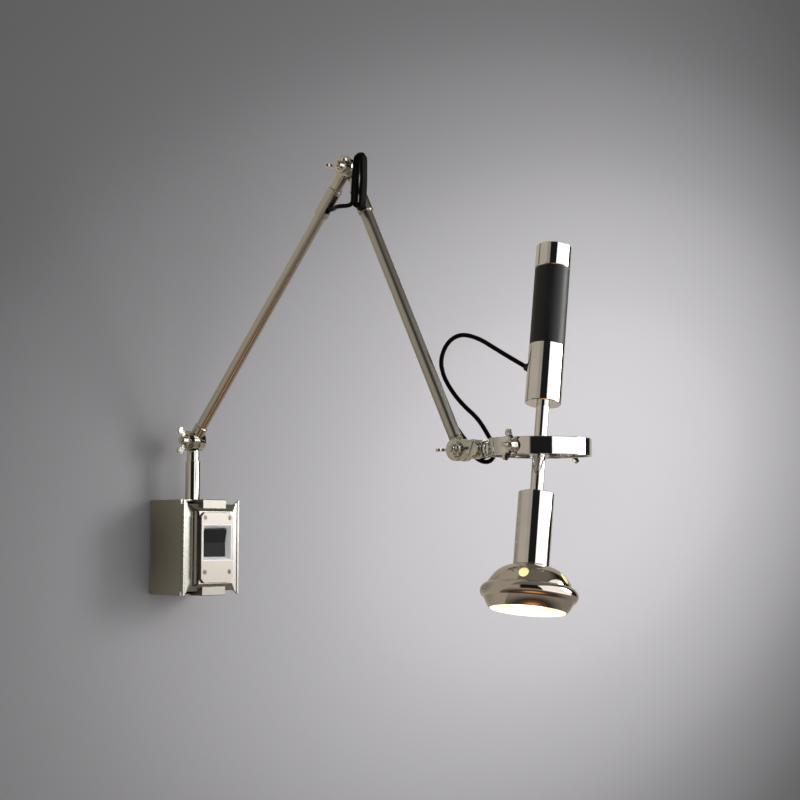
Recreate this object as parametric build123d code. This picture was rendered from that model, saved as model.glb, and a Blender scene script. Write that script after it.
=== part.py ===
from build123d import *
from math import asin, ceil, cos, degrees, hypot, pi, radians, sin, tan
import os

# Articulating wall lamp: a switch box on the wall, a swivel post, two tube arms with halved
# knuckle joints, a bracket, and a lamp head carried by its rod in a two-axis gimbal ring.
# Millimetres. Origin: middle of the box's rear face, on the wall. The wall is the plane Y = 0,
# the lamp stands out along -Y, and +Z is up.

os.makedirs("parts", exist_ok=True)

# ---- fits ------------------------------------------------------------------------------------
seat_gap = 0.05        # radial clearance of a piece seated in another
running_gap = 0.05     # radial clearance of a turning pin in its bore
moving_gap = 0.3       # clearance between faces that move past each other

# ---- wall box --------------------------------------------------------------------------------
box_width = 76.0
box_depth = 68.0
box_height = 126.0
box_wall = 2.5
box_corner = 8.0       # radius of the rear vertical edges
back_plate_thick = 2.5
wall_screw_x = 44.0    # spacing of the wall screws
wall_screw_z = 88.0
wall_screw_hole = 5.4
cable_inlet_z = -28.0  # height of the cable inlet in the back plate
cable_inlet_bore = 9.0
grommet_wall = 2.0
grommet_lip = 2.5

# ---- front frame of the box ------------------------------------------------------------------
frame_width = 93.0     # over the two wings
ledge_plane = 84.5     # distance of the flat ledges from the wall
seat_plane = 95.5      # distance of the switch plate's seat from the wall
wing_thick = 3.0
rim_width = 2.6        # raised strip along each wing's outer edge
rim_rise = 1.0
rim_groove = 1.0
cove_foot = 4.0        # width of the hollow curve between ledge and seat
flap_drop = 6.0        # how far the top and bottom flaps stay inside the box's height
flap_edge_plane = 86.0
tab_width = 38.0
tab_plane = 91.0
tab_rise = 5.5         # how far a tab reaches over its flap

# ---- switch ----------------------------------------------------------------------------------
plate_width = 54.0
plate_height = 92.5
plate_thick = 2.0
plate_cut = 5.5        # cut corners of the switch plate
window_width = 49.0
window_height = 48.0
window_z = 6.5
plate_screw_x = 41.0
plate_screw_top = 39.0
plate_screw_bottom = -32.0
plate_screw_head = 6.4
plate_screw_shank = 3.0
plate_screw_length = 9.0
screw_slot = 1.0
funnel_depth = 7.0     # depth of the insert's sloped funnel
rocker_width = 36.0
rocker_height = 36.0
rocker_thick = 7.0
rocker_tilt = 5.0      # half of the rocker's full swing, degrees
rocker_pin = 2.0
rocker_pin_length = 2.4
insert_depth = 15.0
housing_width = 44.0
housing_height = 43.0
housing_depth = 20.0
terminal_block_size = (30.0, 12.0, 16.0)

# ---- swivel post -----------------------------------------------------------------------------
post_stand = 44.0      # distance of the post's axis from the wall
sleeve_radius = 10.0
sleeve_top = 115.5
sleeve_inside = 14.0   # length of the sleeve below the box's top wall
spindle_radius = 8.6
post_nut_width = 30.0
post_nut_height = 6.0
retainer_radius = 11.5
retainer_height = 5.0
journal_radius = 6.0

# ---- knuckle joints --------------------------------------------------------------------------
eye_radius = 13.5
eye_half_width = 12.0
friction_disc_thick = 1.0
disc_radius = 11.0
bolt_radius = 4.0
bolt_head_radius = 6.5
bolt_head_height = 4.0
washer_radius = 10.5
washer_thick = 1.2
shoulder_halving = 15.5  # reach of the halved neck from the pivot
elbow_halving = 30.0
wrist_halving = 15.5

# ---- wing nuts -------------------------------------------------------------------------------
nut_flange_radius = 10.0
nut_flange_height = 2.6
nut_hub_radius = 7.0
nut_hub_top = 5.5
nut_height = 10.0
wing_span = 35.0
wing_blade = 3.2
wing_rise = 6.5        # how far the blade tips stand beyond the hub's end
pivot_nut_flange = 8.0

# ---- arms ------------------------------------------------------------------------------------
plane_yaw = 9.0        # rest direction of the arms, degrees from the wall's normal
shoulder_height = 142.5
lower_arm = 427.5      # shoulder pivot to elbow pivot
lower_arm_angle = 52.5
upper_arm = 401.5      # elbow pivot to wrist pivot
upper_arm_angle = -65.3
lower_tube_radius = 7.5
upper_tube_radius = 8.0
tube_wall = 1.5
tube_seat = 12.0       # length of a tube's end in its socket
shoulder_seat = 8.0    # the same in the shoulder knuckle, clear of the halved eye
shank_radius = 9.0
lower_shank = 24.5     # reach of the shoulder knuckle's shank
elbow_shank = 32.8     # reach of the lower arm's elbow knuckle
collar_radius = 9.8
collar_length = 40.7
collar_seat = 8.0      # length of the lower tube's end in the slotted collar
slot_length = 26.0
slot_width = 7.0
slot_turn = -70.0      # direction of the slot round the collar, degrees
slot_end_gap = 1.0     # from the slot's end to the tube's end
upper_collar_radius = 10.0
upper_collar_start = 33.0
upper_collar_reach = 68.5
elbow_neck_radius = 7.6
wrist_shank = 17.0
lead_exit = 34.0       # wrist pivot to the hole where the cord leaves the tube

# ---- bracket ---------------------------------------------------------------------------------
bracket_angle = -0.4
boss_radius = 11.5
boss_offset = 24.0     # wrist pivot to the lock screw
block_reach = 36.0
block_height = 21.0
block_width = 20.0
stem_radius = 5.0
stem_start = 16.0
stem_flange_radius = 10.0
stem_flange_thick = 3.0
stem_neck_radius = 8.0
stem_neck_length = 9.15  # from the stem's flange to the ring
stem_nut_thick = 4.0
stem_nut_radius = 7.0
lock_head_radius = 9.4
lock_head_height = 3.0
lock_shank = 3.0

# ---- gimbal ----------------------------------------------------------------------------------
ring_radius = 59.0
ring_reach = (block_reach + moving_gap + stem_flange_thick + stem_neck_length
              + seat_gap + ring_radius)   # wrist pivot to the ring's centre
ring_wall = 3.0
ring_height = 20.0
inner_ring_radius = 28.0
inner_ring_wall = 3.0
inner_ring_height = 12.0
pivot_pin_radius = 3.0
pivot_spacer_radius = 4.5
pivot_pin_length = 22.0      # length of the pin outside the ring
trunnion_head_radius = 6.0
trunnion_head_length = 8.0
trunnion_neck_radius = 4.2
trunnion_neck = 9.7
inner_tilt = -2.0            # rest tilt of the inner ring in the outer ring, degrees
head_tilt = -11.8            # rest tilt of the head in the inner ring, degrees
hub_radius = 12.0
hub_height = 20.0

# ---- lamp head, heights along its axis from the ring's centre --------------------------------
rod_radius = 7.5
rod_bore = 5.0
rod_thread = 8.0             # length of the rod's end beyond a wall it passes
handle_radius = 21.0
grip_radius = 20.6
barrel_bottom = 52.0
grip_bottom = 122.5
grip_top = 217.0
cap_top = 246.0
cap_thick = 4.0
core_radius = 17.0
core_wall = 2.0
gland_height = 84.0
gland_radius = 4.6
gland_length = 4.5
gland_angle = 190.0          # direction of the gland round the head's axis, degrees
gland_rise = 30.0            # how far the gland points up, degrees
cover_radius = 20.5
cover_top = -53.5
cover_bottom = -137.5
cover_wall = 2.0
end_wall = 3.0
lampholder_radius = 17.0
lampholder_length = 44.0
holder_skirt_start = 8.0     # the lampholder's wide skirt, from its mouth
holder_skirt_end = 14.0
base_radius = 13.2
base_length = 26.0
rod_nut_radius = 11.5
rod_nut_height = 5.0

# ---- shade and bulb --------------------------------------------------------------------------
shade_wall = 1.2
shade_spigot = 12.0          # length of the shade's neck inside the cover
dome_middle_radius = 40.5    # a place half way down the dome
dome_middle = -148.2
dome_rim_radius = 48.0
dome_rim = -160.5
bead_radius = 55.2
bead_middle = -168.0
skirt_top_radius = 50.4
skirt_top = -176.2
opening_radius = 43.6
opening_plane = -187.5
vent_radius = 6.0
vent_count = 5
vent_circle = 37.0
vent_height = -145.5
vent_slope = 38.0            # lean of the holes, degrees
vent_drill = 16.0            # length of the drill that cuts a hole
vent_start = 228.0           # direction of the first vent hole round the head's axis
bulb_radius = 38.0
bulb_wall = 1.2
bulb_neck_radius = 15.0
bulb_front = -184.5
bulb_rim = -174.0
bulb_flare = 11.5            # how far the middle of the flare stands out from the neck
bulb_flare_middle = -152.5
bulb_shoulder = -168.5       # lower end of the flare
bulb_edge = -171.5           # the widest place

# ---- cords -----------------------------------------------------------------------------------
cord_radius = 2.7
cord_hole_gap = 0.6
hank_turns = 3
hank_loop_radius = 5.0       # centre line of a loop's end
hank_run = 54.5              # straight length of a loop
hank_pitch = 5.9             # step from loop to loop along the elbow's axis
hank_lean = 2.0              # the same, across the loops
hank_tilt = -4.7             # the loops' long sides from the vertical, degrees
hank_place = (33.0, -26.0, 15.0)   # first loop's middle: outward, up and aside from the elbow
hank_tail = 5.0              # bend radius where the cord comes out of the arm
hank_exit = 6.0              # bend radius where the cord leaves the hank
hank_end = 5.4               # straight end of the hank
cord_joint = 0.2             # gap between the hank's end and the lead that goes on from it


def bar_x(radius, start, end):
    """Cylinder along X between two places."""
    return Pos((start + end) / 2, 0, 0) * Rot(0, 90, 0) * Cylinder(radius, end - start)


def bar_y(radius, start, end):
    """Cylinder along Y between two places."""
    return Pos(0, (start + end) / 2, 0) * Rot(90, 0, 0) * Cylinder(radius, end - start)


def bar_z(radius, start, end):
    """Cylinder along Z between two places."""
    return Pos(0, 0, (start + end) / 2) * Cylinder(radius, end - start)


def block(x, y, z):
    """Box between three pairs of places."""
    middle = [(low + high) / 2 for low, high in (x, y, z)]
    return Pos(*middle) * Box(x[1] - x[0], y[1] - y[0], z[1] - z[0])


def softened(shape, size, kind=GeomType.CIRCLE):
    """The shape with its outermost round edges chamfered."""
    edges = shape.edges().filter_by(kind).sort_by(SortBy.RADIUS)
    widest = edges[-1].radius
    return chamfer([e for e in edges if e.radius > widest - 0.01], size)


def save(name, shape):
    """One file per sub-part, named after it."""
    export_step(shape, f"parts/{name}.step")


# ---- frames of the moving pieces -------------------------------------------------------------
yaw = radians(plane_yaw)
outward = Vector(sin(yaw), -cos(yaw), 0)       # level direction of the arms
nut_side = Vector(-cos(yaw), -sin(yaw), 0)     # direction of the hinge axes, towards the nuts


def arm_place(out, height, angle):
    """Frame with X along an arm, Y up in the arms' plane, and Z along the hinge axis."""
    origin = Vector(0, -post_stand, 0) + outward * out + Vector(0, 0, height)
    return Plane(origin=origin, x_dir=outward, z_dir=nut_side).location * Rot(0, 0, angle)


def point_in(frame, x, y, z):
    """Place of a point that is given in a frame."""
    return (frame * Pos(x, y, z)).position


def along(start, length, angle):
    """End of an arm, as its distance outward and its height."""
    return start[0] + length * cos(radians(angle)), start[1] + length * sin(radians(angle))


shoulder = (0.0, shoulder_height)
elbow = along(shoulder, lower_arm, lower_arm_angle)
wrist = along(elbow, upper_arm, upper_arm_angle)
ring_middle = along(wrist, ring_reach, bracket_angle)

post_frame = arm_place(*shoulder, -90)
lower_frame = arm_place(*shoulder, lower_arm_angle)
elbow_back_frame = arm_place(*elbow, lower_arm_angle + 180)
upper_frame = arm_place(*elbow, upper_arm_angle)
wrist_back_frame = arm_place(*wrist, upper_arm_angle + 180)
bracket_frame = arm_place(*wrist, bracket_angle)
ring_frame = bracket_frame * Pos(ring_reach, 0, 0) * Rot(-90, 0, 0)
inner_frame = ring_frame * Rot(0, inner_tilt, 0)
head_frame = inner_frame * Rot(head_tilt, 0, 0)
hank_frame = arm_place(*elbow, 0) * Pos(*hank_place) * Rot(0, 0, hank_tilt)


# ---- wall box --------------------------------------------------------------------------------
def make_back_plate():
    """Steel plate screwed to the wall; the box is hooked over it."""
    width = box_width - 2 * box_wall - 2 * seat_gap
    height = box_height - 2 * box_wall - 2 * seat_gap
    plate = block((-width / 2, width / 2), (-back_plate_thick, 0), (-height / 2, height / 2))
    plate = fillet(plate.edges().filter_by(Axis.Y), box_corner - box_wall)
    for x in (-wall_screw_x / 2, wall_screw_x / 2):
        for z in (-wall_screw_z / 2, wall_screw_z / 2):
            plate -= Pos(x, 0, z) * bar_y(wall_screw_hole / 2, -back_plate_thick - 1, 1)
    inlet = bar_y(cable_inlet_bore / 2 + grommet_wall + seat_gap, -back_plate_thick - 1, 1)
    return plate - Pos(0, 0, cable_inlet_z) * inlet


def make_cable_grommet():
    """Rubber bush in the back plate, where the supply cable comes in."""
    outer = cable_inlet_bore / 2 + grommet_wall
    body = bar_y(outer, -back_plate_thick - grommet_lip, 0)
    body += bar_y(outer + grommet_lip, -back_plate_thick - grommet_lip, -back_plate_thick - seat_gap)
    body -= bar_y(cable_inlet_bore / 2, -back_plate_thick - grommet_lip - 1, 1)
    return Pos(0, 0, cable_inlet_z) * body


def make_box_body():
    """Folded sheet box, open at the rear and the front."""
    def shell(inset, front):
        half = box_width / 2 - inset
        top = box_height / 2 - inset
        solid = block((-half, half), (front, 0), (-top, top))
        corner = max(box_corner - inset, 0.5)
        rear = solid.edges().filter_by(Axis.Z).group_by(Axis.Y)[-1]
        return fillet(rear, corner) if inset == 0 else solid
    body = shell(0, -box_depth)
    body -= Pos(0, 1, 0) * shell(box_wall, -box_depth - 2)
    rear_web = block((-box_width / 2 + 0.5, box_width / 2 - 0.5), (-box_corner, 0),
                     (-box_height / 2 + 0.5, box_height / 2 - 0.5))
    rear_web = fillet(rear_web.edges().filter_by(Axis.Z).group_by(Axis.Y)[-1], box_corner - 0.5)
    half = box_width / 2 - box_wall
    top = box_height / 2 - box_wall
    hollow = block((-half, half), (-box_corner - 1, 1), (-top, top))
    hollow = fillet(hollow.edges().filter_by(Axis.Y), box_corner - box_wall)
    body += rear_web - hollow
    post_hole = Pos(0, -post_stand, 0) * bar_z(sleeve_radius + seat_gap, 0, box_height)
    return body - post_hole


def octagon(width, height, cut):
    """Face in the XZ plane with four cut corners, looking along +Y."""
    w, h = width / 2, height / 2
    points = [(-w + cut, -h), (w - cut, -h), (w, -h + cut), (w, h - cut),
              (w - cut, h), (-w + cut, h), (-w, h - cut), (-w, -h + cut)]
    return Plane.XZ * make_face(Polyline(*points, close=True))


def slab(face, front, rear):
    """Plate between two distances from the wall, from a face in the XZ plane."""
    return Pos(0, -rear, 0) * extrude(face, front - rear, dir=(0, -1, 0))


def wing_profile():
    """Plan section of the front frame: neck, flared wing, rim, ledge, cove and seat."""
    neck = box_width / 2
    tip = frame_width / 2
    front = -ledge_plane
    rim = tip - rim_width
    seat = plate_width / 2
    foot = seat + cove_foot
    rise = seat_plane - ledge_plane
    edge = [Line((0, -box_depth), (neck, -box_depth)),
            Line((neck, -box_depth), (neck, front + wing_thick + 2)),
            Line((neck, front + wing_thick + 2), (tip, front + wing_thick - 1)),
            Line((tip, front + wing_thick - 1), (tip, front - rim_rise)),
            Line((tip, front - rim_rise), (rim, front - rim_rise)),
            Line((rim, front - rim_rise), (rim, front + rim_groove)),
            Line((rim, front + rim_groove), (rim - rim_groove, front + rim_groove)),
            Line((rim - rim_groove, front + rim_groove), (rim - rim_groove, front)),
            Line((rim - rim_groove, front), (foot, front)),
            ThreePointArc((foot, front), (seat + cove_foot * 0.32, front - rise * 0.36),
                          (seat + 0.6, front - rise + 0.6)),
            Line((seat + 0.6, front - rise + 0.6), (seat, -seat_plane)),
            Line((seat, -seat_plane), (0, -seat_plane)),
            Line((0, -seat_plane), (0, -box_depth))]
    return make_face(Wire(edge))


def make_front_frame():
    """Cast frame: two wings with pointed tips, two sloping flaps and a raised seat."""
    half_height = box_height / 2
    half_seat = plate_height / 2
    seat = plate_width / 2
    tip = frame_width / 2
    deep = seat_plane + 5
    side = Pos(0, 0, -half_height) * extrude(wing_profile(), box_height)
    sides = side + mirror(side, Plane.YZ)
    flap_z = half_height - flap_drop
    flap = make_face(Polyline((-box_depth, 0), (-box_depth, flap_z), (-flap_edge_plane, flap_z),
                              (-seat_plane, half_seat), (-seat_plane, 0), close=True))
    flap = Pos(-tip, 0, 0) * extrude(Plane.YZ * flap, frame_width)
    flaps = flap + mirror(flap, Plane.XY)
    upper = make_face(Polyline((-seat, half_seat), (seat, half_seat), (tip, half_height),
                               (tip, half_height + 1), (-tip, half_height + 1),
                               (-tip, half_height), close=True))
    upper = slab(Plane.XZ * upper, deep, box_depth - 1)
    corners = upper + mirror(upper, Plane.XY)
    wing_back = ledge_plane - wing_thick - 2
    neck_top = flap_z
    shoulder_cut = block((-tip - 1, tip + 1), (-wing_back, -box_depth + 1), (neck_top, half_height + 1))
    frame = (sides - corners) + (flaps & corners)
    frame -= shoulder_cut + mirror(shoulder_cut, Plane.XY)
    wall = box_wall
    neck = box_width / 2 - wall
    frame -= block((-neck, neck), (-ledge_plane + wall + 1, -box_depth + 1), (-flap_z + wall, flap_z - wall))
    hollow = seat - wall
    frame -= block((-hollow, hollow), (-seat_plane + wall, -box_depth), (-half_seat + 3, half_seat - 3))
    cut_corner = slab(octagon(plate_width, plate_height, plate_cut), seat_plane + 1, seat_plane - 2)
    seat_ring = block((-seat - 1, seat + 1), (-seat_plane - 1, -seat_plane + 1.5),
                      (-half_seat - 1, half_seat + 1))
    frame -= seat_ring - cut_corner
    frame -= insert_block(seat_gap, seat_plane + 1)
    for x, z in plate_screw_places():
        frame -= Pos(x, 0, z) * bar_y(plate_screw_shank / 2 + seat_gap, -seat_plane - 1, -seat_plane + wall + 1)
    return frame


def insert_block(clearance, front):
    """Outer shape of the switch insert, wider by the clearance."""
    half = window_width / 2 + clearance
    top = window_height / 2 + clearance
    rear = seat_plane + plate_thick - insert_depth
    return block((-half, half), (-front, -rear), (window_z - top, window_z + top))


def make_frame_tabs():
    """Two tongues that hook the frame to the box's top and bottom walls."""
    half_height = box_height / 2
    flap_z = half_height - flap_drop
    half_seat = plate_height / 2
    low = flap_z - tab_rise
    slope = (flap_z - half_seat) / (seat_plane - flap_edge_plane)
    foot = [(-box_depth - seat_gap, flap_z + seat_gap), (-flap_edge_plane, flap_z + seat_gap),
            (-tab_plane, flap_z + seat_gap - slope * (tab_plane - flap_edge_plane)),
            (-tab_plane, half_height), (-box_depth - seat_gap, half_height)]
    face = Plane.YZ * make_face(Polyline(*foot, close=True))
    tab = Pos(-tab_width / 2, 0, 0) * extrude(face, tab_width)
    tab = chamfer(tab.edges().filter_by(Axis.X).group_by(Axis.Z)[-1].sort_by(Axis.Y)[0], 0.8)
    return Compound([tab, mirror(tab, Plane.XY)])


def plate_screw_places():
    """The four screws of the switch plate, as places across the plate."""
    half = plate_screw_x / 2
    return [(x, z) for x in (-half, half) for z in (plate_screw_bottom, plate_screw_top)]


def make_switch_plate():
    """Eight-sided plate with the insert's window and four countersunk holes."""
    front = seat_plane + plate_thick
    plate = slab(octagon(plate_width, plate_height, plate_cut), front, seat_plane)
    plate = chamfer(plate.faces().sort_by(Axis.Y)[0].outer_wire().edges(), 0.6)
    plate -= insert_block(seat_gap, front + 1)
    for x, z in plate_screw_places():
        sink = Pos(0, -front, 0) * Rot(90, 0, 0) * Pos(0, 0, -0.9) * Cone(
            plate_screw_shank / 2 + seat_gap, plate_screw_head / 2 + seat_gap, 1.8)
        plate -= Pos(x, 0, z) * (sink + bar_y(plate_screw_shank / 2 + seat_gap, -front - 1, -seat_plane + 1))
    return plate


def make_plate_screws():
    """Four slotted countersunk screws."""
    front = seat_plane + plate_thick
    screw = Pos(0, -front, 0) * Rot(90, 0, 0) * Pos(0, 0, -0.9) * Cone(
        plate_screw_shank / 2, plate_screw_head / 2, 1.8)
    screw += bar_y(plate_screw_shank / 2, -front + 1.8, -front + plate_screw_length)
    screw -= block((-plate_screw_head, plate_screw_head), (-front - 1, -front + 0.8),
                   (-screw_slot / 2, screw_slot / 2))
    return Compound([Pos(x, 0, z) * Rot(0, 25 * (i + 1), 0) * screw
                     for i, (x, z) in enumerate(plate_screw_places())])


rocker_axis = seat_plane + plate_thick - funnel_depth - rocker_thick / 2 + 1.0


def make_switch_insert():
    """White frame whose four sloped sides run down to the rocker."""
    front = seat_plane + plate_thick
    mouth = front - funnel_depth
    insert = insert_block(0, front - 0.2)
    hole_x = rocker_width / 2 + moving_gap
    hole_z = rocker_height / 2 + 3 * moving_gap
    margin = 1.2
    wide = Plane(origin=(0, -front - 0.1, window_z), x_dir=(1, 0, 0), z_dir=(0, -1, 0)) * Rectangle(
        window_width - 2 * margin, window_height - 2 * margin)
    narrow = Plane(origin=(0, -mouth, window_z), x_dir=(1, 0, 0), z_dir=(0, -1, 0)) * Rectangle(
        2 * hole_x, 2 * hole_z)
    insert -= loft([narrow, wide])
    rear = front - insert_depth
    insert -= block((-hole_x, hole_x), (-mouth - 1, -rear + 1), (window_z - hole_z, window_z + hole_z))
    pin_hole = bar_x(rocker_pin + running_gap, -rocker_width / 2 - rocker_pin_length - moving_gap,
                     rocker_width / 2 + rocker_pin_length + moving_gap)
    return insert - Pos(0, -rocker_axis, window_z) * pin_hole


def make_rocker():
    """Black rocker with a shallow vee face, pressed at one end."""
    half = rocker_height / 2
    dish = half * tan(radians(rocker_tilt))
    swell = rocker_thick / 2
    corner = 1.0
    profile = Polyline((-swell, -half + corner), (-swell - dish + 0.2, -half), (-swell - dish, -half + 0.3),
                       (-swell + 0.3, 0), (-swell - dish, half - 0.3), (-swell - dish + 0.2, half),
                       (-swell, half - corner), (swell * 0.6, half * 0.8), (swell, 0),
                       (swell * 0.6, -half * 0.8), close=True)
    body = Pos(-rocker_width / 2, 0, 0) * extrude(Plane.YZ * make_face(profile), rocker_width)
    body += bar_x(rocker_pin, -rocker_width / 2 - rocker_pin_length, rocker_width / 2 + rocker_pin_length)
    return Pos(0, -rocker_axis, window_z) * Rot(rocker_tilt, 0, 0) * body


def make_switch_housing():
    """Closed switch mechanism behind the insert, with its two terminals."""
    front = seat_plane + plate_thick - insert_depth - seat_gap
    half = housing_width / 2
    top = housing_height / 2
    body = block((-half, half), (-front, -front + housing_depth), (window_z - top, window_z + top))
    body = chamfer(body.edges().filter_by(Axis.Y), 2)
    for x in (-10, 10):
        body += Pos(x, 0, window_z) * bar_y(3.0, -front + housing_depth - 1, -front + housing_depth + 4)
    return body


def make_terminal_block():
    """Screw terminal block on the back plate."""
    width, depth, height = terminal_block_size
    rear = back_plate_thick + seat_gap
    body = block((-width / 2, width / 2), (-rear - depth, -rear), (12, 12 + height))
    for x in (-width / 3, 0, width / 3):
        body -= Pos(x, 0, 12 + height * 0.3) * bar_y(1.8, -rear - depth - 1, -rear - depth + 3)
        body -= Pos(x, 0, 12 + height * 0.7) * bar_y(1.8, -rear - depth - 1, -rear - depth + 3)
    return body


# ---- swivel post -----------------------------------------------------------------------------
sleeve_bottom = box_height / 2 - box_wall - sleeve_inside


def on_post(shape):
    return Pos(0, -post_stand, 0) * shape


def make_post_sleeve():
    """Fixed tube through the box's top wall."""
    sleeve = bar_z(sleeve_radius, sleeve_bottom, sleeve_top)
    sleeve = softened(sleeve, 0.6)
    return on_post(sleeve - bar_z(spindle_radius + running_gap, sleeve_bottom - 1, sleeve_top + 1))


def make_post_nut():
    """Hexagon nut under the top wall."""
    top = box_height / 2 - box_wall - seat_gap
    nut = Pos(0, 0, top - post_nut_height) * extrude(RegularPolygon(post_nut_width / 2, 6), post_nut_height)
    return on_post(nut - bar_z(sleeve_radius + seat_gap, top - post_nut_height - 1, top + 1))


def make_spindle_retainer():
    """Collar that keeps the spindle in its sleeve."""
    top = sleeve_bottom - moving_gap
    collar = softened(bar_z(retainer_radius, top - retainer_height, top), 0.6)
    return on_post(collar - bar_z(journal_radius + seat_gap, top - retainer_height - 1, top + 1))


# ---- knuckle joints --------------------------------------------------------------------------
def half_knuckle(side, shank, reach, halving):
    """Halved eye with its shank along X; side is +1 towards the wing nut and -1 away."""
    mid = friction_disc_thick / 2 + moving_gap / 2
    inner, outer = sorted((side * mid, side * eye_half_width))
    eye = softened(bar_z(eye_radius, inner, outer), 0.8)
    neck = softened(bar_x(shank, 0, reach), 0.6)
    far = -side * (eye_half_width + 20)
    low, high = sorted((side * mid, far))
    neck -= bar_z(halving, low, high)
    body = eye + neck
    over_low, over_high = sorted((side * eye_half_width, side * (eye_half_width + 20)))
    body -= bar_z(eye_radius + 6, over_low, over_high)
    return body - bar_z(bolt_radius + running_gap, -eye_half_width - 1, eye_half_width + 1)


def make_bolt():
    """Pivot bolt, its round head on the far side."""
    length = eye_half_width + washer_thick + moving_gap + nut_height + 2
    head = -eye_half_width - washer_thick - 2 * seat_gap
    bolt = softened(bar_z(bolt_head_radius, head - bolt_head_height, head), 1.2)
    return bolt + softened(bar_z(bolt_radius, head, length), 0.6)


def make_washers():
    """Washer under the head, friction disc between the halves, washer under the nut."""
    disc = bar_z(disc_radius, -friction_disc_thick / 2, friction_disc_thick / 2)
    near = bar_z(washer_radius, eye_half_width + seat_gap, eye_half_width + seat_gap + washer_thick)
    far = bar_z(washer_radius, -eye_half_width - seat_gap - washer_thick, -eye_half_width - seat_gap)
    bore = bar_z(bolt_radius + seat_gap, -eye_half_width - 5, eye_half_width + 5)
    return Compound([disc - bore, near - bore, far - bore])


def wing_nut(flange, bore, turn):
    """Wing nut standing on Z = 0, its wings along X before the turn."""
    profile = make_face(Polyline((0, 0), (flange, 0), (flange, nut_flange_height * 0.6),
                                 (flange - 1, nut_flange_height), (nut_hub_radius, nut_flange_height + 0.8),
                                 (nut_hub_top, nut_height), (0, nut_height), close=True))
    hub = revolve(Plane.XZ * profile, Axis.Z)
    tip = wing_span / 2
    top = nut_height + wing_rise
    root = nut_flange_height * 0.8
    edge = [Line((3, root), (nut_hub_radius, root)), Line((nut_hub_radius, root), (tip - 2.5, top - 9)),
            ThreePointArc((tip - 2.5, top - 9), (tip, top - 3.6), (tip - 3.2, top)),
            ThreePointArc((tip - 3.2, top), (tip - 6.8, top - 1.0), (tip - 8.4, nut_height - 0.5)),
            Line((tip - 8.4, nut_height - 0.5), (3, nut_height - 1.5)), Line((3, nut_height - 1.5), (3, root))]
    blade = extrude(Plane.XZ * make_face(Wire(edge)), wing_blade / 2, both=True)
    nut = hub + blade + mirror(blade, Plane.YZ)
    return Rot(0, 0, turn) * (nut - bar_z(bore, -1, nut_height + 1))


joint_nut_seat = eye_half_width + seat_gap + washer_thick + moving_gap


def joint_wing_nut(turn):
    return Pos(0, 0, joint_nut_seat) * wing_nut(nut_flange_radius, bolt_radius + running_gap, turn)


def make_post_spindle():
    """Spindle in the sleeve, with the far half of the shoulder joint on top."""
    top_reach = shoulder_height - sleeve_top - moving_gap
    knuckle = half_knuckle(-1, spindle_radius, top_reach, shoulder_halving)
    shaft = bar_z(spindle_radius, sleeve_bottom - moving_gap, sleeve_top)
    shaft += bar_z(spindle_radius, sleeve_top - 1, sleeve_top + moving_gap + 1)
    journal_end = sleeve_bottom - moving_gap - retainer_height
    shaft += bar_z(journal_radius, journal_end, sleeve_bottom)
    return post_frame * knuckle + on_post(shaft)


# ---- lower arm -------------------------------------------------------------------------------
lower_tube_start = lower_shank - shoulder_seat
lower_tube_end = lower_arm - elbow_shank - collar_length + collar_seat
tube_bore = lower_tube_radius - tube_wall


def socket(radius, start, end):
    """Bore that takes the end of a tube."""
    return bar_x(radius + seat_gap, start, end)


def make_lower_arm_knuckle():
    """Near half of the shoulder joint, with the socket of the lower tube."""
    knuckle = half_knuckle(1, shank_radius, lower_shank, shoulder_halving)
    return knuckle - socket(lower_tube_radius, lower_tube_start - seat_gap, lower_shank + 1)


def make_lower_tube():
    tube = bar_x(lower_tube_radius, lower_tube_start, lower_tube_end)
    return tube - bar_x(tube_bore, lower_tube_start - 1, lower_tube_end + 1)


def make_lower_collar():
    """Collar over the tube's upper end, with the long slot where the cord comes out."""
    near = elbow_shank + seat_gap
    far = elbow_shank + collar_length
    collar = softened(bar_x(collar_radius, near, far), 0.8)
    collar -= bar_x(tube_bore, near - 1, far + 1)
    tube_end = lower_arm - lower_tube_end - seat_gap
    collar -= socket(lower_tube_radius, tube_end, far + 1)
    slot = Box(slot_length, slot_width, collar_radius + 1, align=(Align.MAX, Align.CENTER, Align.MIN))
    return collar - Rot(slot_turn, 0, 0) * (Pos(tube_end - slot_end_gap, 0, 0) * slot)


def make_elbow_knuckle():
    """Near half of the elbow joint, its spigot in the slotted collar."""
    knuckle = half_knuckle(1, shank_radius, elbow_shank, elbow_halving)
    return knuckle + bar_x(tube_bore - seat_gap, elbow_shank - 1, elbow_shank + 4)


# ---- upper arm -------------------------------------------------------------------------------
upper_tube_start = upper_collar_reach - tube_seat
upper_tube_end = upper_arm - wrist_shank - seat_gap
upper_bore = upper_tube_radius - tube_wall


def cord_hole():
    """Bore for the cord in the upper arm, in the arm's frame."""
    low = -hank_run / 2 - hank_loop_radius
    place = (upper_frame.inverse() * hank_frame * Pos(-hank_tail, low, 0)).position
    return Pos(place.X, place.Y, 0) * bar_z(cord_radius + cord_hole_gap, 0, upper_collar_radius + 2)


def make_upper_arm_knuckle():
    """Far half of the elbow joint, with a long collar and the hole for the cord."""
    knuckle = half_knuckle(-1, elbow_neck_radius, upper_collar_start + 1, elbow_halving)
    knuckle += softened(bar_x(upper_collar_radius, upper_collar_start, upper_collar_reach), 0.8)
    knuckle -= socket(upper_tube_radius, upper_tube_start - seat_gap, upper_collar_reach + 1)
    knuckle -= bar_x(upper_bore, upper_collar_start + 4, upper_tube_start)
    return knuckle - cord_hole()


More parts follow.
